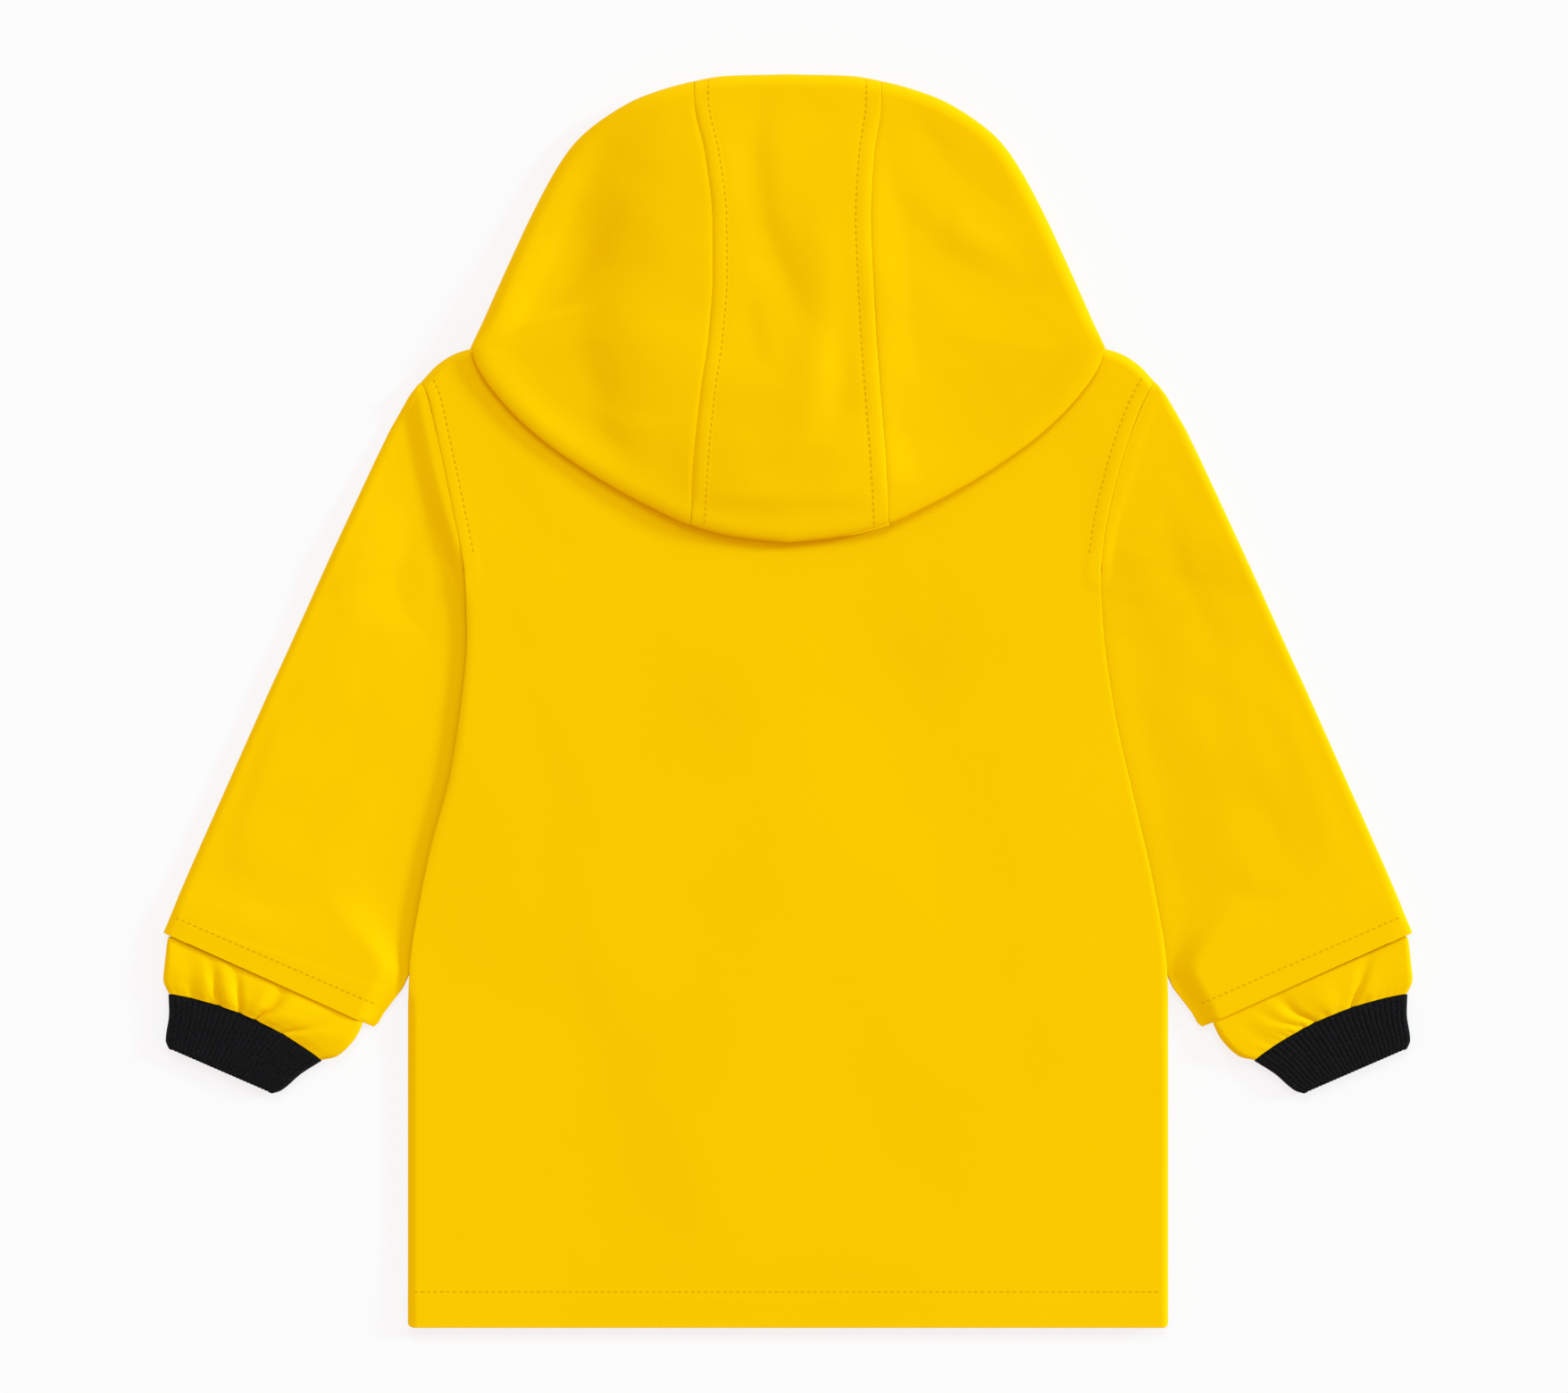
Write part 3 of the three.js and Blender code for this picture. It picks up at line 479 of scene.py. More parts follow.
def back_neck_y(x):
    return NECK_Y - BACK_NECK_DROP * (1 - (x / NECK_HALF) ** 2)


def front_neck_y(x):
    return NECK_Y - FRONT_NECK_DROP * np.sqrt(np.maximum(0, 1 - (x / NECK_HALF) ** 2))


def stitch_groove(off):
    """The dent that a row of stitches pulls into the cloth."""
    return -GROOVE_DEPTH * np.exp(-((off / GROOVE_WIDTH) ** 2))


# Heights of the cloth, as in the solids, with the finer folds
def back_height(x, y):
    out = np.abs(x)
    left = x < 0
    hem = smoothstep(y, HEM_Y, HEM_Y + 40)
    flat = mix(BACK_HEM_Z, BACK_Z, hem) + fold_height(BACK_FOLDS, x, y) * hem
    loose = 1 - smoothstep(y, 60, 110)
    flat = flat + 0.16 * ripple(x, y * 0.8, 90, seed=3) * hem * loose
    # The edges come down onto the sleeves and fronts, the left one over a wider strip
    strip, lift = np.where(left, 4, 2), np.where(left, 0.7, 1.2)
    side = ease_off(beside(body_lines, x, y) / strip)
    shoulder = ease_off(distance(shoulder_line, out, y) / 4.5)
    edge = body_edge_z(y) + lift * smoothstep(y, -150, -90)
    lowered = flat - np.maximum(0, flat - edge) * side
    z = mix(lowered, np.minimum(SECOND_Z, lowered), shoulder)
    # The hem and the armhole are turned or sewn down, which makes them a little thicker
    off = y - HEM_Y - HEM_DEPTH
    z = z + 0.25 * (1 - smoothstep(off, 0.5, 2.5)) + stitch_groove(off)
    armhole = beside(armhole_lines, x, y)
    z = z + 0.2 * (1 - smoothstep(armhole, 6.2, 8)) * smoothstep(armhole, 0, 1.5)
    return z + stitch_groove(armhole - ARM_STITCH) * smoothstep(y, 66, 76)


def under_hood(x, y, layer):
    """Height of what lies under a layer of the hood: the back, or the surface beyond it."""
    out = np.abs(x)
    off = distance(shoulder_line, out, y)
    crown = (layer == "table") | ((layer == "top") & (y > NECK_Y))
    above = np.where(out < NECK_HALF, crown, y >= shoulder_y(out))
    past = np.where(above, off, -off)
    return mix(OVER_BACK_Z, FLOOR_Z, smoothstep(past, 0.5, 12))


def hood_height(x, y, layer):
    """Height of the hood's top layer, or of one that lies on the back or on the surface."""
    out = np.abs(x)
    left = x < 0
    off = distance(outline, out, y)
    share = dome(np.maximum(0, off - 0.01) / HOOD_ROLL)
    aside = smoothstep(out, 40, 108)
    edge = HOOD_EDGE_Z - mix(1.2 * smoothstep(y, 150, 190), 1.8, aside)
    # The left panel sinks towards the crown
    edge = edge - 3.2 * smoothstep(y, 176, 240) * (1 - smoothstep(x, -106, -56))
    rise = HOOD_DOME * smoothstep(off, 0, 70)
    inside = smoothstep(off, 3, 20)
    broad, small = ripple(x, y, 46, seed=11), ripple(x, y, 16, seed=12)
    top = edge + rise + fold_height(HOOD_FOLDS, x, y) * inside
    top = top + (0.2 * broad + 0.03 * small) * inside
    under = under_hood(x, y, layer)
    # A deep fold rests on the layer beneath it
    top = soft_max(top, under + CLOTH + 0.2, 1.6)
    middle = (edge + under) / 2
    if layer != "top":
        return mix(middle, under, share)
    # The seam allowance is stitched down on the middle strip's side
    seam = out - np.where(left, seam_half[-1](y), seam_half[1](y))
    band = smoothstep(seam, -8.2, -6.6) * (1 - smoothstep(seam, -1.6, 0))
    top = top + np.where(left, 0.25, 0.1) * band * inside
    top = top + stitch_groove(seam + HOOD_STITCH) * inside
    top = top - 0.3 * np.exp(-((seam / 1.3) ** 2)) * inside
    return mix(middle, top, share)


def added(name, data):
    """A new object in the scene."""
    piece = bpy.data.objects.new(name, data)
    bpy.context.scene.collection.objects.link(piece)
    return piece


class Sheet:
    """Grids of points joined along shared edges, which are then given a wall."""

    def __init__(self):
        self.points, self.faces, self.total = [], [], 0

    def grid(self, x, y, z, flip=False, closed=False):
        """Adds rows of points; `closed` rows are rings, and `flip` turns the faces over."""
        x, y, z = np.broadcast_arrays(x, y, z)
        rows, across = x.shape
        ids = np.arange(rows * across).reshape(rows, across) + self.total
        if closed:
            ids = np.concatenate([ids, ids[:, :1]], 1)
        quads = [ids[:-1, :-1], ids[:-1, 1:], ids[1:, 1:], ids[1:, :-1]]
        if flip:
            quads = quads[::-1]
        self.faces.append(np.stack([q.ravel() for q in quads], 1))
        self.points.append(np.stack([x.ravel(), y.ravel(), z.ravel()], 1))
        self.total += rows * across
        return self

    def mesh(self, name, wall=CLOTH):
        """The closed piece, its points merged where they meet to a hundredth of a millimetre."""
        points = np.concatenate(self.points)
        _, first, same = np.unique(
            np.round(points * 100).astype(np.int64),
            axis=0,
            return_index=True,
            return_inverse=True,
        )
        points = points[first]
        quads = same.reshape(-1)[np.concatenate(self.faces)]
        return walled(name, points, quads, wall)


def normals_of(points, quads):
    a, b, c, d = (points[quads[:, i]] for i in range(4))
    normal = np.cross(c - a, d - b)
    normals = np.zeros_like(points)
    for i in range(4):
        np.add.at(normals, quads[:, i], normal)
    return normals / np.maximum(np.linalg.norm(normals, axis=1), 1e-9)[:, None]


def free_edges(faces):
    """The edges that only one face has, in its own direction."""
    edges = {}
    for face in faces:
        for s, e in zip(face, face[1:] + face[:1]):
            if edges.pop((e, s), None) is None:
                edges[(s, e)] = True
    return list(edges)


def outward_of(points, normals, edges):
    """At each point of a free edge, the way out of the sheet in its own plane."""
    outward = np.zeros_like(points)
    for s, e in edges:
        side = np.cross(points[e] - points[s], normals[s] + normals[e])
        side /= max(np.linalg.norm(side), 1e-9)
        outward[s] += side
        outward[e] += side
    length = np.linalg.norm(outward, axis=1)
    rim = length > 1e-6
    outward[rim] /= length[rim][:, None]
    return outward


def walled(name, points, quads, wall):
    """A closed mesh round a sheet, its free edges rounded over."""
    quads = quads[[len(set(q)) >= 3 for q in quads]]
    faces = [[v for i, v in enumerate(q) if v != q[i - 1]] for q in quads]
    normals = normals_of(points, quads)
    edges = free_edges(faces)
    outward = outward_of(points, normals, edges)
    radius = wall / 2
    rim_radius = min(RIM, radius)
    centre = points - outward * rim_radius
    layers = [centre + normals * radius, centre - normals * radius]
    count = len(points)
    used = sorted({v for edge in edges for v in edge})
    place = {v: i for i, v in enumerate(used)}
    rim_turns = ((50, 1), (5, 1), (-5, -1), (-50, -1))  # degrees, and which face they round
    for turn, way in rim_turns:
        t = math.radians(turn)
        bend = outward[used] * math.cos(t) + normals[used] * math.sin(t)
        core = centre[used] + normals[used] * way * (radius - rim_radius)
        layers.append(core + bend * rim_radius)
    vertices = np.concatenate(layers) * MM
    made = faces + [[v + count for v in reversed(f)] for f in faces]
    starts = [2 * count + i * len(used) for i in range(len(rim_turns))]
    for s, e in edges:
        rings = [(s, e)] + [(k + place[s], k + place[e]) for k in starts]
        rings.append((s + count, e + count))
        for (p, q), (r, t) in zip(rings, rings[1:]):
            made.append([q, p, r, t])
    mesh = bpy.data.meshes.new(name)
    mesh.from_pydata(vertices.tolist(), [], made)
    mesh.validate()
    mesh.shade_smooth()
    mesh.set_sharp_from_angle(angle=math.radians(70))
    return added(name, mesh)


# Materials
def plain(name, values):
    """A material with these values on its shader's own sockets."""
    material = bpy.data.materials.new(name)
    material.use_nodes = True
    shader = material.node_tree.nodes["Principled BSDF"]
    for socket, value in values.items():
        shader.inputs[socket].default_value = value
    return material


class Pattern:
    """Noise in the object's own coordinates, for what varies over a material."""

    def __init__(self, material):
        self.nodes, self.links = material.node_tree.nodes, material.node_tree.links
        self.shader = self.nodes["Principled BSDF"]
        self.where = self.nodes.new("ShaderNodeTexCoord").outputs["Object"]

    def fill(self, node, inputs):
        """Sets a node's inputs to values, or links them to other nodes' outputs."""
        for name, given in inputs.items():
            if isinstance(given, bpy.types.NodeSocket):
                self.links.new(given, node.inputs[name])
            else:
                node.inputs[name].default_value = given

    def noise(self, scale, detail, rough=0.5):
        node = self.nodes.new("ShaderNodeTexNoise")
        inputs = {"Scale": scale, "Detail": detail, "Roughness": rough, "Vector": self.where}
        self.fill(node, inputs)
        return node.outputs["Fac"]

    def bump(self, height, depth, strength, before=None):
        node = self.nodes.new("ShaderNodeBump")
        self.fill(node, {"Distance": depth, "Strength": strength, "Height": height})
        if before is not None:
            self.fill(node, {"Normal": before})
        return node.outputs["Normal"]

    def spread(self, fac, low, high):
        """Noise, which stays near its middle, drawn out to a range."""
        node = self.nodes.new("ShaderNodeMapRange")
        self.fill(node, {"From Min": 0.3, "From Max": 0.7, "To Min": low, "To Max": high})
        self.fill(node, {"Value": fac})
        return node.outputs["Result"]

    def tinted(self, fac, dark, light):
        node = self.nodes.new("ShaderNodeMix")
        node.data_type = "RGBA"
        self.fill(node, {"A": (*dark, 1), "B": (*light, 1), "Factor": fac})
        return node.outputs["Result"]


def coated_cloth(name, dark, light, roughness):
    """Fine woven cloth under a soft polyurethane coat."""
    material = plain(name, {"Specular IOR Level": 0.03, "Specular Tint": (1, 0.7, 0.05, 1)})
    pattern = Pattern(material)
    tone = pattern.spread(pattern.noise(9, 2), 0, 1)
    gloss = pattern.spread(pattern.noise(60, 3), roughness - 0.05, roughness + 0.06)
    soft = pattern.bump(pattern.noise(38, 2, 0.4), 0.0004, 0.5)
    weave = pattern.bump(pattern.noise(1500, 2), 0.00005, 0.4, soft)
    colour = pattern.tinted(tone, dark, light)
    pattern.fill(pattern.shader, {"Base Color": colour, "Roughness": gloss, "Normal": weave})
    return material


def rib_knit():
    """Near-black knit: fine loops over the modelled ribs."""
    dull = {"Roughness": 0.9, "Specular IOR Level": 0.1}
    material = plain("rib_knit", {**dull, "Sheen Weight": 0.05, "Sheen Roughness": 0.4})
    pattern = Pattern(material)
    loops = pattern.noise(1100, 3, 0.6)
    tone = pattern.spread(loops, 0, 1)
    colour = pattern.tinted(tone, (0.001, 0.001, 0.0015), (0.009, 0.0085, 0.011))
    relief = pattern.bump(loops, 0.0003, 0.8)
    pattern.fill(pattern.shader, {"Base Color": colour, "Normal": relief})
    return material


def thread():
    """Sewing thread, a shade deeper than the cloth."""
    material = plain("thread", {"Roughness": 0.7, "Specular IOR Level": 0.03})
    pattern = Pattern(material)
    twist = pattern.noise(2600, 2)
    colour = pattern.tinted(twist, (0.7, 0.38, 0.0), (0.84, 0.49, 0.0))
    relief = pattern.bump(twist, 0.0001, 0.5)
    pattern.fill(pattern.shader, {"Base Color": colour, "Normal": relief})
    return material


def enamel():
    """Glossy yellow enamel of the press studs."""
    material = plain("press_stud", {"Coat Weight": 0.4})
    pattern = Pattern(material)
    worn = pattern.spread(pattern.noise(500, 3), 0.22, 0.4)
    colour = pattern.tinted(pattern.noise(90, 2), (0.72, 0.42, 0.002), (0.86, 0.55, 0.006))
    pattern.fill(pattern.shader, {"Base Color": colour, "Roughness": worn})
    return material


YELLOW = coated_cloth("coated_cloth", (0.872, 0.519, 0.0), (0.892, 0.534, 0.0002), 0.5)
HOOD_YELLOW = coated_cloth(
    "coated_cloth_hood",
    (0.868, 0.511, 0.0),
    (0.888, 0.528, 0.0002),
    0.52,
)
KNIT = rib_knit()
THREAD = thread()
ENAMEL = enamel()

pieces = {}


def keep(piece, node, material):
    """Gives a piece its material, and the place of its solid."""
    piece.data.materials.append(material)
    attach(piece, "root")
    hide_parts(node)
    pieces[node] = piece


def dense_edges(count, edge, size):
    """Shares from 0 to 1 that crowd towards 1, for a border `edge` wide."""
    border = 1 - edge / size
    inner = np.linspace(0, border, count, endpoint=False)
    return np.concatenate([inner, border + (1 - border) * np.linspace(0, 1, 9)])


def joined(parts, axis):
    """Grids of x, y and z put together, row by row (1) or one after another (0)."""
    return [np.concatenate([part[i] for part in parts], axis) for i in range(3)]


# Body
def hem_corner(y):
    """How far the side draws in at the hem's rounded corner."""
    low = np.maximum(0, HEM_CORNER - (y - HEM_Y))
    return HEM_CORNER - np.sqrt(np.maximum(0, HEM_CORNER**2 - low**2))


def back_panel():
    shares = dense_edges(70, 9, 172)
    u = np.concatenate([-shares[:0:-1], shares])[None, :]
    hem_shares = [0, 0.0012, 0.0024, 0.004]
    v = np.concatenate([hem_shares, dense_edges(190, 8, 480)[1:]])[:, None]
    edge = 0.1
    limit_x = np.abs(u) * (TIP_X - edge)
    limit = np.where(limit_x > NECK_HALF, shoulder_y(limit_x) - edge, back_neck_y(limit_x))
    y = mix(HEM_Y, limit, v)
    half = edge_half(np.minimum(y, TIP_Y), np.sign(u)) - SEWN / 2 - hem_corner(y)
    x = u * half
    return Sheet().grid(x, y, back_height(x, y)).mesh("coat_back")


# Places across a front: shares from its side to the neck, then distances from the middle
SIDE_SHARES = np.array([1, 0.97, 0.9, 0.78, 0.6, 0.4, 0.2, 0])
LAP_PLACES = np.array(
    [66, 63, 60, 55, 50, 46, 40, 34, 29, 26, 24.5, 23, 21, LAP_START, 12, 4, 0, -8, -17, -18]
)


def front_panel(side):
    shares = SIDE_SHARES[None, :]
    v = np.linspace(0, 1, 120)[:, None]
    y = mix(HEM_Y, shoulder_y(mix(NECK_HALF, TIP_X, shares)), v)
    edge = edge_half(np.minimum(y, TIP_Y), side) - SEAM / 2 - hem_corner(y)
    x = mix(NECK_HALF, edge, shares)
    lap_x = np.repeat(LAP_PLACES[None, :], len(v), 0)
    lap_y = mix(HEM_Y, front_neck_y(LAP_PLACES)[None, :], v)
    x, y = np.concatenate([x, lap_x], 1), np.concatenate([y, lap_y], 1)
    z = np.full(x.shape, FLOOR_Z)
    if side > 0:
        z = mix(SECOND_Z, FLOOR_Z, smoothstep(x, LAP_START, LAP_END))
    return Sheet().grid(side * x, y, z, flip=side < 0).mesh(f"coat_front_{name_of(side)}")


# Sleeves
def sleeve_sections(side, count):
    """The sleeve's sections, straight between those of the solid, so that layers stay apart."""
    places = np.arange(len(SLEEVE["z"]))
    at = np.linspace(0, places[-1], count)
    r = {k: np.interp(at, places, v)[:, None] for k, v in SLEEVE.items()}
    seam = edge_half(r["in_y"], side)
    r["seam_z"] = back_height(side * (seam - 0.1), r["in_y"])
    r["tuck_x"] = seam + np.where(r["beyond"] == SEAM, SEWN / 2, r["beyond"])
    r["open_x"] = seam + np.maximum(r["beyond"], 2 * SEAM)
    r["to_hem"] = np.hypot(SLEEVE_CORNER[0] - r["out_x"], SLEEVE_CORNER[1] - r["out_y"])
    return r


def sleeve_height(r, side, off):
    """Height of the upper layer `off` from its inner edge, without its finer folds."""
    in_y, slope = r["in_y"], r["slope"]
    free = smoothstep(r["to_hem"], 10, 34)
    slack = free * smoothstep(slope, 2, 12)
    slope = slope + 34 * free * smoothstep(slope, 1, 7)
    # A valley runs down beside the body, wider and deeper on the left
    start = mix(0.5, 3.5, smoothstep(in_y, 75, 115))
    end = start + (11 if side < 0 else 6)
    depth = ARM_VALLEY[side] * smoothstep(in_y, 30, 66)
    depth = depth * (1 + 0.35 * np.exp(-(((in_y - 76) / 22) ** 2)))
    valley = depth * smoothstep(off, start, end) * (1 - smoothstep(off, end + 1, 62))
    rising = off + np.minimum(0, r["beyond"]) - 1.5
    flat = BACK_Z - 1.4 * slack
    z = mix(flat, r["z"], 1 - smoothstep(rising, 9 * slack, slope)) - valley
    z = np.maximum(z, SECOND_Z)
    armhole = smoothstep(in_y, 60, 80)
    return mix(z, r["seam_z"], armhole * (1 - smoothstep(off, 0, 6)))


def sleeve_folds(r, side, x, y, off, width):
    """Folds, ripples and the stitched hem of the upper layer."""
    loose = smoothstep(off, 10, 40) * smoothstep(width - off, 4, 18)
    broad, small = ripple(x * side, y, 60, seed=21), ripple(x * side, y, 18, seed=22)
    soft = fold_height(SLEEVE_FOLDS, x, y) + 0.2 * broad + 0.03 * small
    hem = r["to_hem"] - SLEEVE_HEM_DEPTH
    turned = 0.2 * (1 - smoothstep(hem, 0.4, 2)) * smoothstep(width - off, 4, 9)
    stitched = stitch_groove(hem) * smoothstep(off, 2, 8)
    return soft * loose * smoothstep(r["to_hem"], 2, 22) + turned + stitched


def sleeve(side):
    r = sleeve_sections(side, 150)
    tuck_x, open_x, in_y = r["tuck_x"], r["open_x"], r["in_y"]
    out_x, out_y = r["out_x"] - 0.2, r["out_y"]
    width = np.hypot(out_x - tuck_x, out_y - in_y)
    low_width = np.hypot(out_x - open_x, out_y - in_y)
    roll = np.minimum(4.5, width * 0.4)
    crown = sleeve_height(r, side, width - roll)
    middle = (crown + FLOOR_Z) / 2

    def across(inner_x, share):
        return mix(inner_x, out_x, share), mix(in_y, out_y, share)

    even = np.concatenate([np.linspace(0, 0.35, 34), np.linspace(0.36, 1, 40)])[None, :-1]
    turn = quarter_turn(9)[None, :]
    share = even * (1 - roll / width)
    off = share * width
    x, y = across(tuck_x, share)
    z = sleeve_height(r, side, off) + sleeve_folds(r, side, x, y, off, width)
    layers = [(x, y, z)]
    over = turn[:, ::-1]
    layers.append((*across(tuck_x, 1 - roll * over / width), mix(middle, crown, dome(over))))
    below = turn[:, 1:]
    layers.append((*across(open_x, 1 - roll * below / low_width), mix(middle, FLOOR_Z, dome(below))))
    x, y = across(open_x, np.array([0.75, 0.5, 0.25, 0])[None, :] * (1 - roll / low_width))
    layers.append((x, y, np.full(x.shape, FLOOR_Z)))
    x, y, z = joined(layers, 1)
    return Sheet().grid(side * x, y, z, flip=side > 0).mesh(f"coat_sleeve_{name_of(side)}")


# Cuffs
hem_outer = np.array(SLEEVE_CORNER)
hem_inner = np.array([float(body_half(CUFF_IN_Y)) + CUFF_BEYOND, CUFF_IN_Y])
across_hem = (hem_inner - hem_outer) / np.linalg.norm(hem_inner - hem_outer)
down_arm = np.array([-across_hem[1], across_hem[0]])


def ring_places(low, high, end):
    """Places round a flat ring: the share across, the turn in degrees, and which end."""
    w = [i / (low - 1) for i in range(low)]
    turn = [-90.0] * low
    out = [0] * low
    for start, stop, at, way in ((-90, 90, 1, 1), (90, -90, 0, -1)):
        for i in range(1, end):
            w.append(at)
            turn.append(mix(start, stop, i / end))
            out.append(way)
        if at == 1:
            w += [1 - i / (high - 1) for i in range(high)]
            turn += [90.0] * high
            out += [0] * high
    return [np.array(c)[None, :] for c in (w, turn, out)]


def cuff(rows, along, places, side, arch, detail):
    """A flat ring's grid down the arm, bowed down in its middle by `arch`."""
    w, turn, end = places
    col = {k: column(rows, "along", k)(along)[:, None] for k in rows}
    semi = (col["high"] - col["low"]) / 2
    swell = np.cos(np.radians(turn)) * semi * 0.8 * end
    at = mix(col["start"] + semi * 0.8, col["end"] - semi * 0.8, w) + swell
    lift = 1 - 2 * (at - col["start"]) / (col["end"] - col["start"])
    down = along[:, None] - arch[:, None] * (1 - lift * lift)
    z = (col["high"] + col["low"]) / 2 + semi * np.sin(np.radians(turn))
    z = z + detail(col, w, turn)
    x = hem_outer[0] + across_hem[0] * at + down_arm[0] * down
    y = hem_outer[1] + across_hem[1] * at + down_arm[1] * down
    return Sheet().grid(side * x, y, z, flip=side > 0, closed=True)


# Gathers over the rib: place across, half width, rise, and how far each leans
GATHERS = {
    -1: [
        (0.13, 0.03, -0.9, -0.1),
        (0.21, 0.03, 0.7, 0.05),
        (0.3, 0.017, -1.9, -0.25),
        (0.36, 0.03, 0.9, -0.2),
        (0.44, 0.014, -1.7, -0.3),
        (0.5, 0.02, 0.8, 0.1),
        (0.54, 0.015, -1.9, 0.2),
        (0.6, 0.045, 0.8, 0.3),
        (0.73, 0.02, -1.2, 0.5),
        (0.84, 0.05, 0.6, 0.1),
    ],
    1: [
        (0.2, 0.05, 0.6, 0.2),
        (0.33, 0.018, -1.4, -0.4),
        (0.45, 0.04, 0.7, 0.1),
        (0.58, 0.016, -1.5, 0.3),
        (0.66, 0.02, -0.9, 0.45),
        (0.7, 0.05, 0.6, 0.2),
        (0.86, 0.03, -0.5, 0.1),
    ],
}


def inner_cuff(side):
    sewn_in, puff = np.linspace(CUFF_START, 0, 8), np.linspace(0.5, CUFF_END, 46)
    along = np.concatenate([sewn_in, puff])

    def gathered(col, w, turn):
        depth = np.where(turn > 0, col["gather"], 0) * np.where(turn == 90, 1, 0)
        up = (CUFF_END - col["along"]) / CUFF_END
        waves = 0
        for at, wide, rise, lean in GATHERS[side]:
            off = w - at - lean * 0.35 * up
            waves = waves + rise * np.exp(-((off / (wide * (1 + 1.6 * up))) ** 2))
        fine = 0.16 * np.sin(w * 2 * math.pi * 17 + 5 * np.sin(w * 9))
        fine = fine * smoothstep(col["along"], 19, 26)
        return depth * (waves + fine) * np.sin(w * math.pi) ** 0.5

    arch = CUFF_ARCH * smoothstep(along, 10, 25)
    ring = cuff(INNER_CUFF, along, ring_places(16, 120, 6), side, arch, gathered)
    return ring.mesh(f"cuff_inner_{name_of(side)}", CUFF_CLOTH)


def rib_cuff(side):
    along = np.concatenate([np.linspace(RIB_START, 47, 14), np.linspace(47.7, RIB_END, 4)])
    steps = 8 * RIBS + 1

    def ribbed(col, w, turn):
        rib = 0.5 + 0.5 * np.cos(w * 2 * math.pi * RIBS)
        ends = smoothstep(RIB_END - col["along"], 0, 1.2)
        ends = ends * smoothstep(col["along"] - RIB_START, -0.5, 1.5)
        relief = np.sign(turn) * RIB_HEIGHT * (rib**0.7 - 0.35) * ends
        return np.where(np.abs(turn) == 90, relief, 0) * np.where(turn > 0, 1, 0.4)

    arch = CUFF_ARCH * ((RIB_END - along) / (RIB_END - RIB_START)) ** 1.3
    ring = cuff(RIB_CUFF, along, ring_places(steps, steps, 8), side, arch, ribbed)
    return ring.mesh(f"cuff_rib_{name_of(side)}", KNIT_CLOTH)


# Hood
def crossings(points, along, places):
    return np.array([crossing(points, along, at) for at in places])


def hood_middle():
    """The strip, from the face opening up to the crown, over it and down, and back to the neck."""
    t = np.linspace(-1, 1, 61)[None, :]
    top_x = np.abs(t[0]) * (HOOD_SEAM_TOP - SEWN / 2)
    brim = crossings(face_line, 0, top_x)[None, :]
    crown = crossings(side_line, 0, top_x)[None, :]
    bottom = crossings(fold_line, 0, np.abs(t[0]) * HOOD_SEAM["left"][0])[None, :]
    neck = back_neck_y(t * 40)
    edge = quarter_turn(10)[:, None] * HOOD_ROLL
    above, below = crown - HOOD_ROLL, bottom + HOOD_ROLL

    def share(count):
        return np.linspace(0, 1, count)[:, None]

    table_y = np.concatenate([mix(brim, above, share(14))[:-1], crown - edge[:0:-1]])
    over_y = [crown - edge, mix(above, below, share(190))[1:-1], bottom + edge[::-1]]
    under_y = np.concatenate([bottom + edge[1:], mix(below, neck, share(24))[1:]])
    parts = []
    for y, layer in ((table_y, "table"), (np.concatenate(over_y), "top"), (under_y, "back")):
        half = np.where(t < 0, seam_half[-1](y), seam_half[1](y))
        if layer == "table":
            half = np.full(y.shape, HOOD_SEAM_TOP)
        x = t * (half - (SEAM if layer == "back" else SEWN / 2))
        z = hood_height(x, y, layer)
        if layer == "table":
            z = np.where(y < above, FLOOR_Z, z)
        parts.append((x, y, z))
    return Sheet().grid(*joined(parts, 0), flip=True).mesh("hood_strip")


def face_share(y):
    """The share of the face opening's line at which it has come down to a height."""
    return np.argmax(face_line[:, 1] <= y) / (len(face_line) - 1)


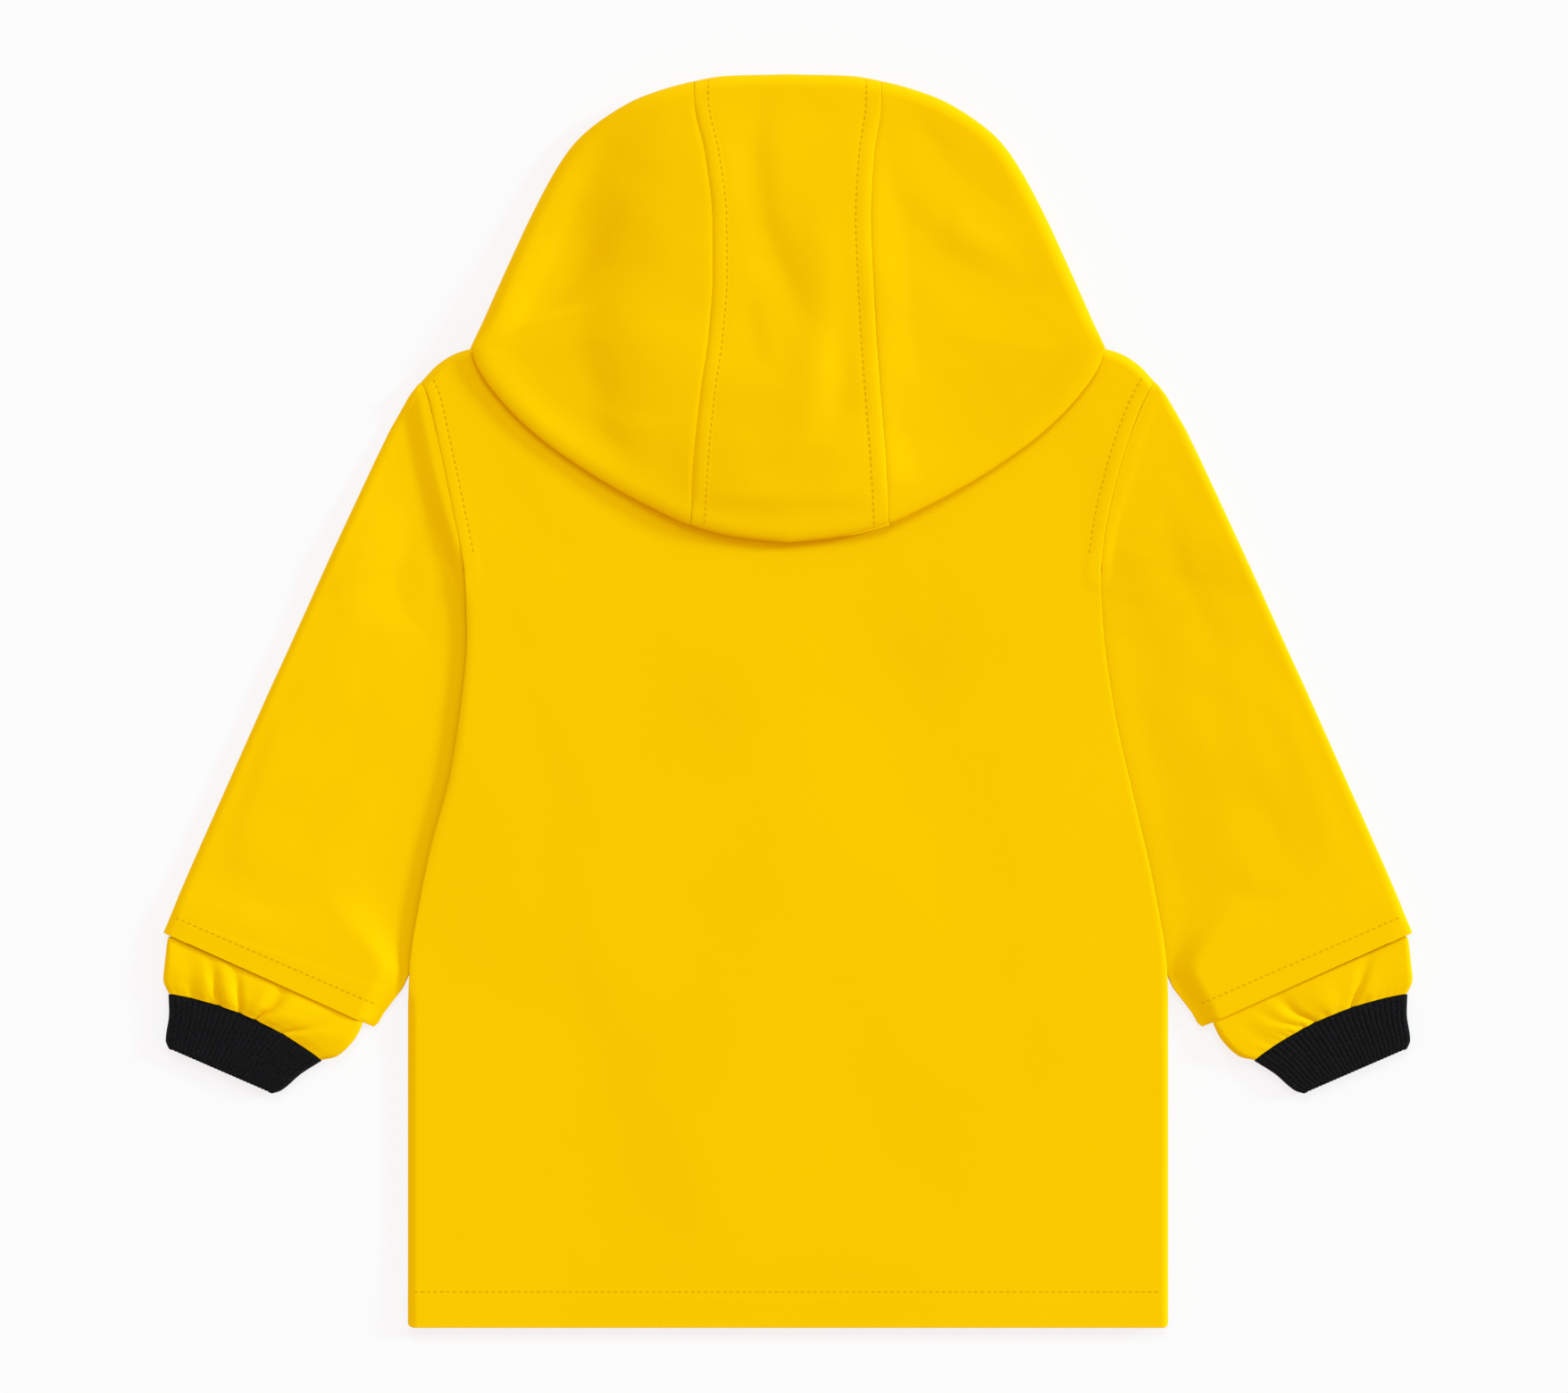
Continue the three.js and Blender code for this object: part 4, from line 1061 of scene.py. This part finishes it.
def hood_side(side):
    def seam(y):
        return seam_half[side](y) + SEWN / 2

    tip_x, end_x = float(seam(CROWN_Y)), float(seam(FOLD_Y))
    tip_y, end_y = crossing(side_line, 0, tip_x), crossing(fold_line, 0, end_x)
    corner_x, corner_y = hood_corner
    near = tip_y - np.array([0, 0.7, 1.6, 2.8, 4.4])
    outer_y = np.concatenate([near, np.linspace(tip_y - 6.4, corner_y + 1.2, 104), [corner_y]])
    near = end_y + np.array([3.5, 2.2, 1.2, 0.5, 0])
    lower_y = np.concatenate([[corner_y], np.linspace(corner_y - 1.2, end_y + 5, 74), near])
    outer_x, lower_x = crossings(side_line, 1, outer_y), crossings(fold_line, 1, lower_y)
    outer_x[0], lower_x[-1] = tip_x, end_x
    outer_x[-1] = lower_x[0] = corner_x
    sheet = Sheet()

    def add_layer(inner_x, edge_x, edge_y, layer, flats):
        start = np.minimum(inner_x, edge_x)[:, None]
        edge_x, edge_y = edge_x[:, None], edge_y[:, None]
        roll = np.minimum(HOOD_ROLL, (edge_x - start) * 0.5)
        share = np.linspace(0, 1, flats, endpoint=False)[None, :]
        turn = quarter_turn(10)[None, ::-1]
        x = side * np.concatenate([mix(start, edge_x - roll, share), edge_x - roll * turn], 1)
        y = np.broadcast_to(edge_y, x.shape)
        sheet.grid(x, y, hood_height(x, y, layer), flip=side > 0)

    top_x, top_y = np.concatenate([outer_x, lower_x[1:]]), np.concatenate([outer_y, lower_y[1:]])
    add_layer(seam(top_y), top_x, top_y, "top", 64)

    # Under layer on the back
    shoulder_x = np.array([146, 138, 131, 124, 117, 110, 103, 96, 89, 82, 75.0])
    shoulder = np.stack([shoulder_x, shoulder_y(shoulder_x)], 1)
    shoulder = np.concatenate([shoulder, [HOOD_NECK]])
    back_x = np.concatenate([lower_x[::-1], shoulder[:, 0]])
    back_y = np.concatenate([lower_y[::-1], shoulder[:, 1]])
    neck_x = NECK_HALF * np.sqrt(np.maximum(0, 1 - (NECK_Y - back_y) / BACK_NECK_DROP))
    add_layer(np.maximum(seam(back_y), neck_x), back_x, back_y, "back", 10)

    # Under layer on the surface, from the outline in to the face opening
    neck_x = np.array([60, 53, 46, 40, 34, 29, 24.5, 16, 8, 0.2])
    neck_y = front_neck_y(neck_x) + SEAM
    neck = np.stack([np.maximum(neck_x * (1 - 0.35 / NECK_HALF), neck_x[-1]), neck_y], 1)
    neck_corner = [[HOOD_NECK[0] - 2, HOOD_NECK[1] - 1.4]]
    rim = np.concatenate([np.stack([outer_x, outer_y], 1), shoulder, neck_corner, neck])
    turn = len(outer_x) + len(shoulder) - 1
    brim = np.array([tip_x, crossing(face_line, 0, tip_x)])
    start, middle = face_share(brim[1]), face_share(HOOD_NECK[1] + 3)
    i = np.arange(len(rim))
    after = mix(middle, 1, (i - turn) / (len(rim) - 1 - turn))
    inner = np.stack(face_path(np.where(i > turn, after, mix(start, middle, i / turn))), 1)
    inner[0] = brim
    far = np.linalg.norm(inner - rim, axis=1)[:, None]
    steps = np.minimum(quarter_turn(10)[None, :] * HOOD_ROLL, far * 0.5) / far
    flats = np.linspace(0, 1, 9)[None, 1:]
    steps = np.concatenate([steps, mix(steps[:, -1:], 1, flats)], 1)
    x = side * mix(rim[:, :1], inner[:, :1], steps)
    y = mix(rim[:, 1:], inner[:, 1:], steps)
    z = hood_height(x, y, "table")
    z[turn + 1 :] = FLOOR_Z
    sheet.grid(x, y, z, flip=side > 0)
    return sheet.mesh(f"hood_side_panel_{name_of(side)}")


# Stitches: short raised threads along a line of points on the cloth
def stitches(name, route):
    """One mesh of separate stitches that follow a route (x, y, z of the cloth's surface)."""
    step = np.linalg.norm(np.diff(route, axis=0), axis=1)
    run = np.concatenate([[0], np.cumsum(step)])
    lifts = np.array([-0.12, 0.12, 0.2, 0.12, -0.12])
    radii = np.array([0.55, 0.95, 1, 0.95, 0.55]) * THREAD_WIDTH / 2
    rings, sides = len(lifts), 6
    vertices, faces = [], []
    for i in range(int(run[-1] / STITCH_PITCH)):
        ends = i * STITCH_PITCH + np.array([0, 0.2, 0.5, 0.8, 1]) * STITCH_LENGTH
        centre = np.stack([np.interp(ends, run, route[:, k]) for k in range(3)], 1)
        along = centre[-1] - centre[0]
        along /= np.linalg.norm(along)
        side = np.cross(along, [0, 0, 1])
        side /= max(np.linalg.norm(side), 1e-6)
        base = len(vertices)
        for c, lift, r in zip(centre, lifts, radii):
            for k in range(sides):
                a = k * 2 * math.pi / sides
                rise = np.array([0, 0, lift + r * 0.8 * math.sin(a)])
                vertices.append((c + side * r * math.cos(a) + rise) * MM)
        for ring in range(rings - 1):
            a, b = base + ring * sides, base + (ring + 1) * sides
            for k in range(sides):
                n = (k + 1) % sides
                faces.append([a + k, a + n, b + n, b + k])
        faces.append([base + k for k in range(sides)][::-1])
        faces.append([base + (rings - 1) * sides + k for k in range(sides)])
    mesh = bpy.data.meshes.new(name)
    mesh.from_pydata([tuple(v) for v in vertices], [], faces)
    mesh.shade_smooth()
    mesh.materials.append(THREAD)
    piece = added(name, mesh)
    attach(piece, "root")
    return piece


def on_piece(piece, xy):
    """Drops points (mm) onto a piece from above."""
    graph = bpy.context.evaluated_depsgraph_get()
    graph.update()
    seen = piece.evaluated_get(graph)
    route = []
    for x, y in xy:
        hit, where, _, _ = seen.ray_cast(Vector((x * MM, y * MM, 0.1)), Vector((0, 0, -1)))
        if hit:
            route.append((x, y, where.z / MM))
    return np.array(route)


keep(back_panel(), "back_panel", YELLOW)
for side in (-1, 1):
    hand = name_of(side)
    keep(front_panel(side), f"front_{hand}", YELLOW)
    keep(sleeve(side), f"sleeve_{hand}", YELLOW)
    keep(inner_cuff(side), f"inner_cuff_{hand}", YELLOW)
    keep(rib_cuff(side), f"rib_cuff_{hand}", KNIT)
    keep(hood_side(side), f"hood_side_{hand}", HOOD_YELLOW)
keep(hood_middle(), "hood_middle", HOOD_YELLOW)

for name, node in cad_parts.items():
    if name.startswith("press_stud"):
        node.data.materials.clear()
        node.data.materials.append(ENAMEL)

# Stitch lines
stitch_pieces = {node: [] for node in ("back_panel", "sleeve_left", "sleeve_right", "hood_middle")}


def stitch(name, node, xy):
    stitch_pieces[node].append(stitches(name, on_piece(pieces[node], xy)))


xs = np.linspace(-180, 180, 181)
stitch("stitch_hem", "back_panel", np.stack([xs, np.full(xs.shape, HEM_Y + HEM_DEPTH)], 1))
for side in (-1, 1):
    hand = name_of(side)
    mirror = np.array([side, 1])
    arm = inset(armhole_lines[side][::-1], ARM_STITCH)
    arm = arm[(arm[:, 1] > 70) & (arm[:, 1] < 158)]
    stitch(f"stitch_armhole_{hand}", "back_panel", resampled(arm * mirror, 90))
    width = np.linspace(2.5, 109, 100)[:, None]
    hem = hem_outer + across_hem * width - down_arm * SLEEVE_HEM_DEPTH
    stitch(f"stitch_sleeve_{hand}", f"sleeve_{hand}", hem * mirror)
    ys = np.linspace(299, 79, 170)
    strip = np.stack([seam_half[side](ys) - HOOD_STITCH, ys], 1)
    stitch(f"stitch_hood_{hand}", "hood_middle", strip * mirror)

# Floor: plain pale paper just under the coat
PAPER = plain(
    "paper",
    {
        "Base Color": (0.2, 0.2, 0.2, 1),
        "Roughness": 0.95,
        "Specular IOR Level": 0.0,
        "Emission Color": (0.995, 0.985, 1, 1),
        "Emission Strength": 0.765,
    },
)
floor_mesh = bpy.data.meshes.new("floor")
floor_mesh.from_pydata([(-3, -3, 0), (3, -3, 0), (3, 3, 0), (-3, 3, 0)], [], [(0, 1, 2, 3)])
floor_mesh.materials.append(PAPER)
floor = added("floor", floor_mesh)
floor.location.z = cad_box[0][2] - 0.1 * MM

# Camera: straight above, so that the view matches the photo's frame
LENS, SENSOR = 90, 36
VIEW_X, VIEW_Y, VIEWED_Z = -1.9, 2.2, 6
camera_data = bpy.data.cameras.new("camera")
camera_data.lens = LENS
camera_data.sensor_width = SENSOR
camera = added("camera", camera_data)
height = FRAME_WIDTH * PIXEL / SENSOR * LENS + VIEWED_Z
camera.location = (VIEW_X * MM, VIEW_Y * MM, height * MM)
bpy.context.scene.camera = camera


# Light: a soft key, a low raking light that draws the folds, and a bright room
def sun(name, direction, elevation, strength, softness):
    """A far light: where it comes from round the view, how high, and how soft."""
    data = bpy.data.lights.new(name, "SUN")
    data.energy = strength
    data.color = (0.6, 1, 1)
    data.angle = math.radians(softness)
    turn, up = math.radians(direction), math.radians(elevation)
    towards = Vector((math.cos(turn) * math.cos(up), math.sin(turn) * math.cos(up), math.sin(up)))
    added(name, data).rotation_euler = towards.to_track_quat("Z", "Y").to_euler()


sun("key", direction=84, elevation=44, strength=0.97, softness=26)
sun("raking", direction=18, elevation=16, strength=2.4, softness=9)
world = bpy.data.worlds.new("world")
bpy.context.scene.world = world
world.use_nodes = True
room = world.node_tree.nodes["Background"].inputs
room["Color"].default_value = (0.82, 0.68, 0.62, 1)
room["Strength"].default_value = 1
bpy.context.scene.view_settings.view_transform = "Standard"
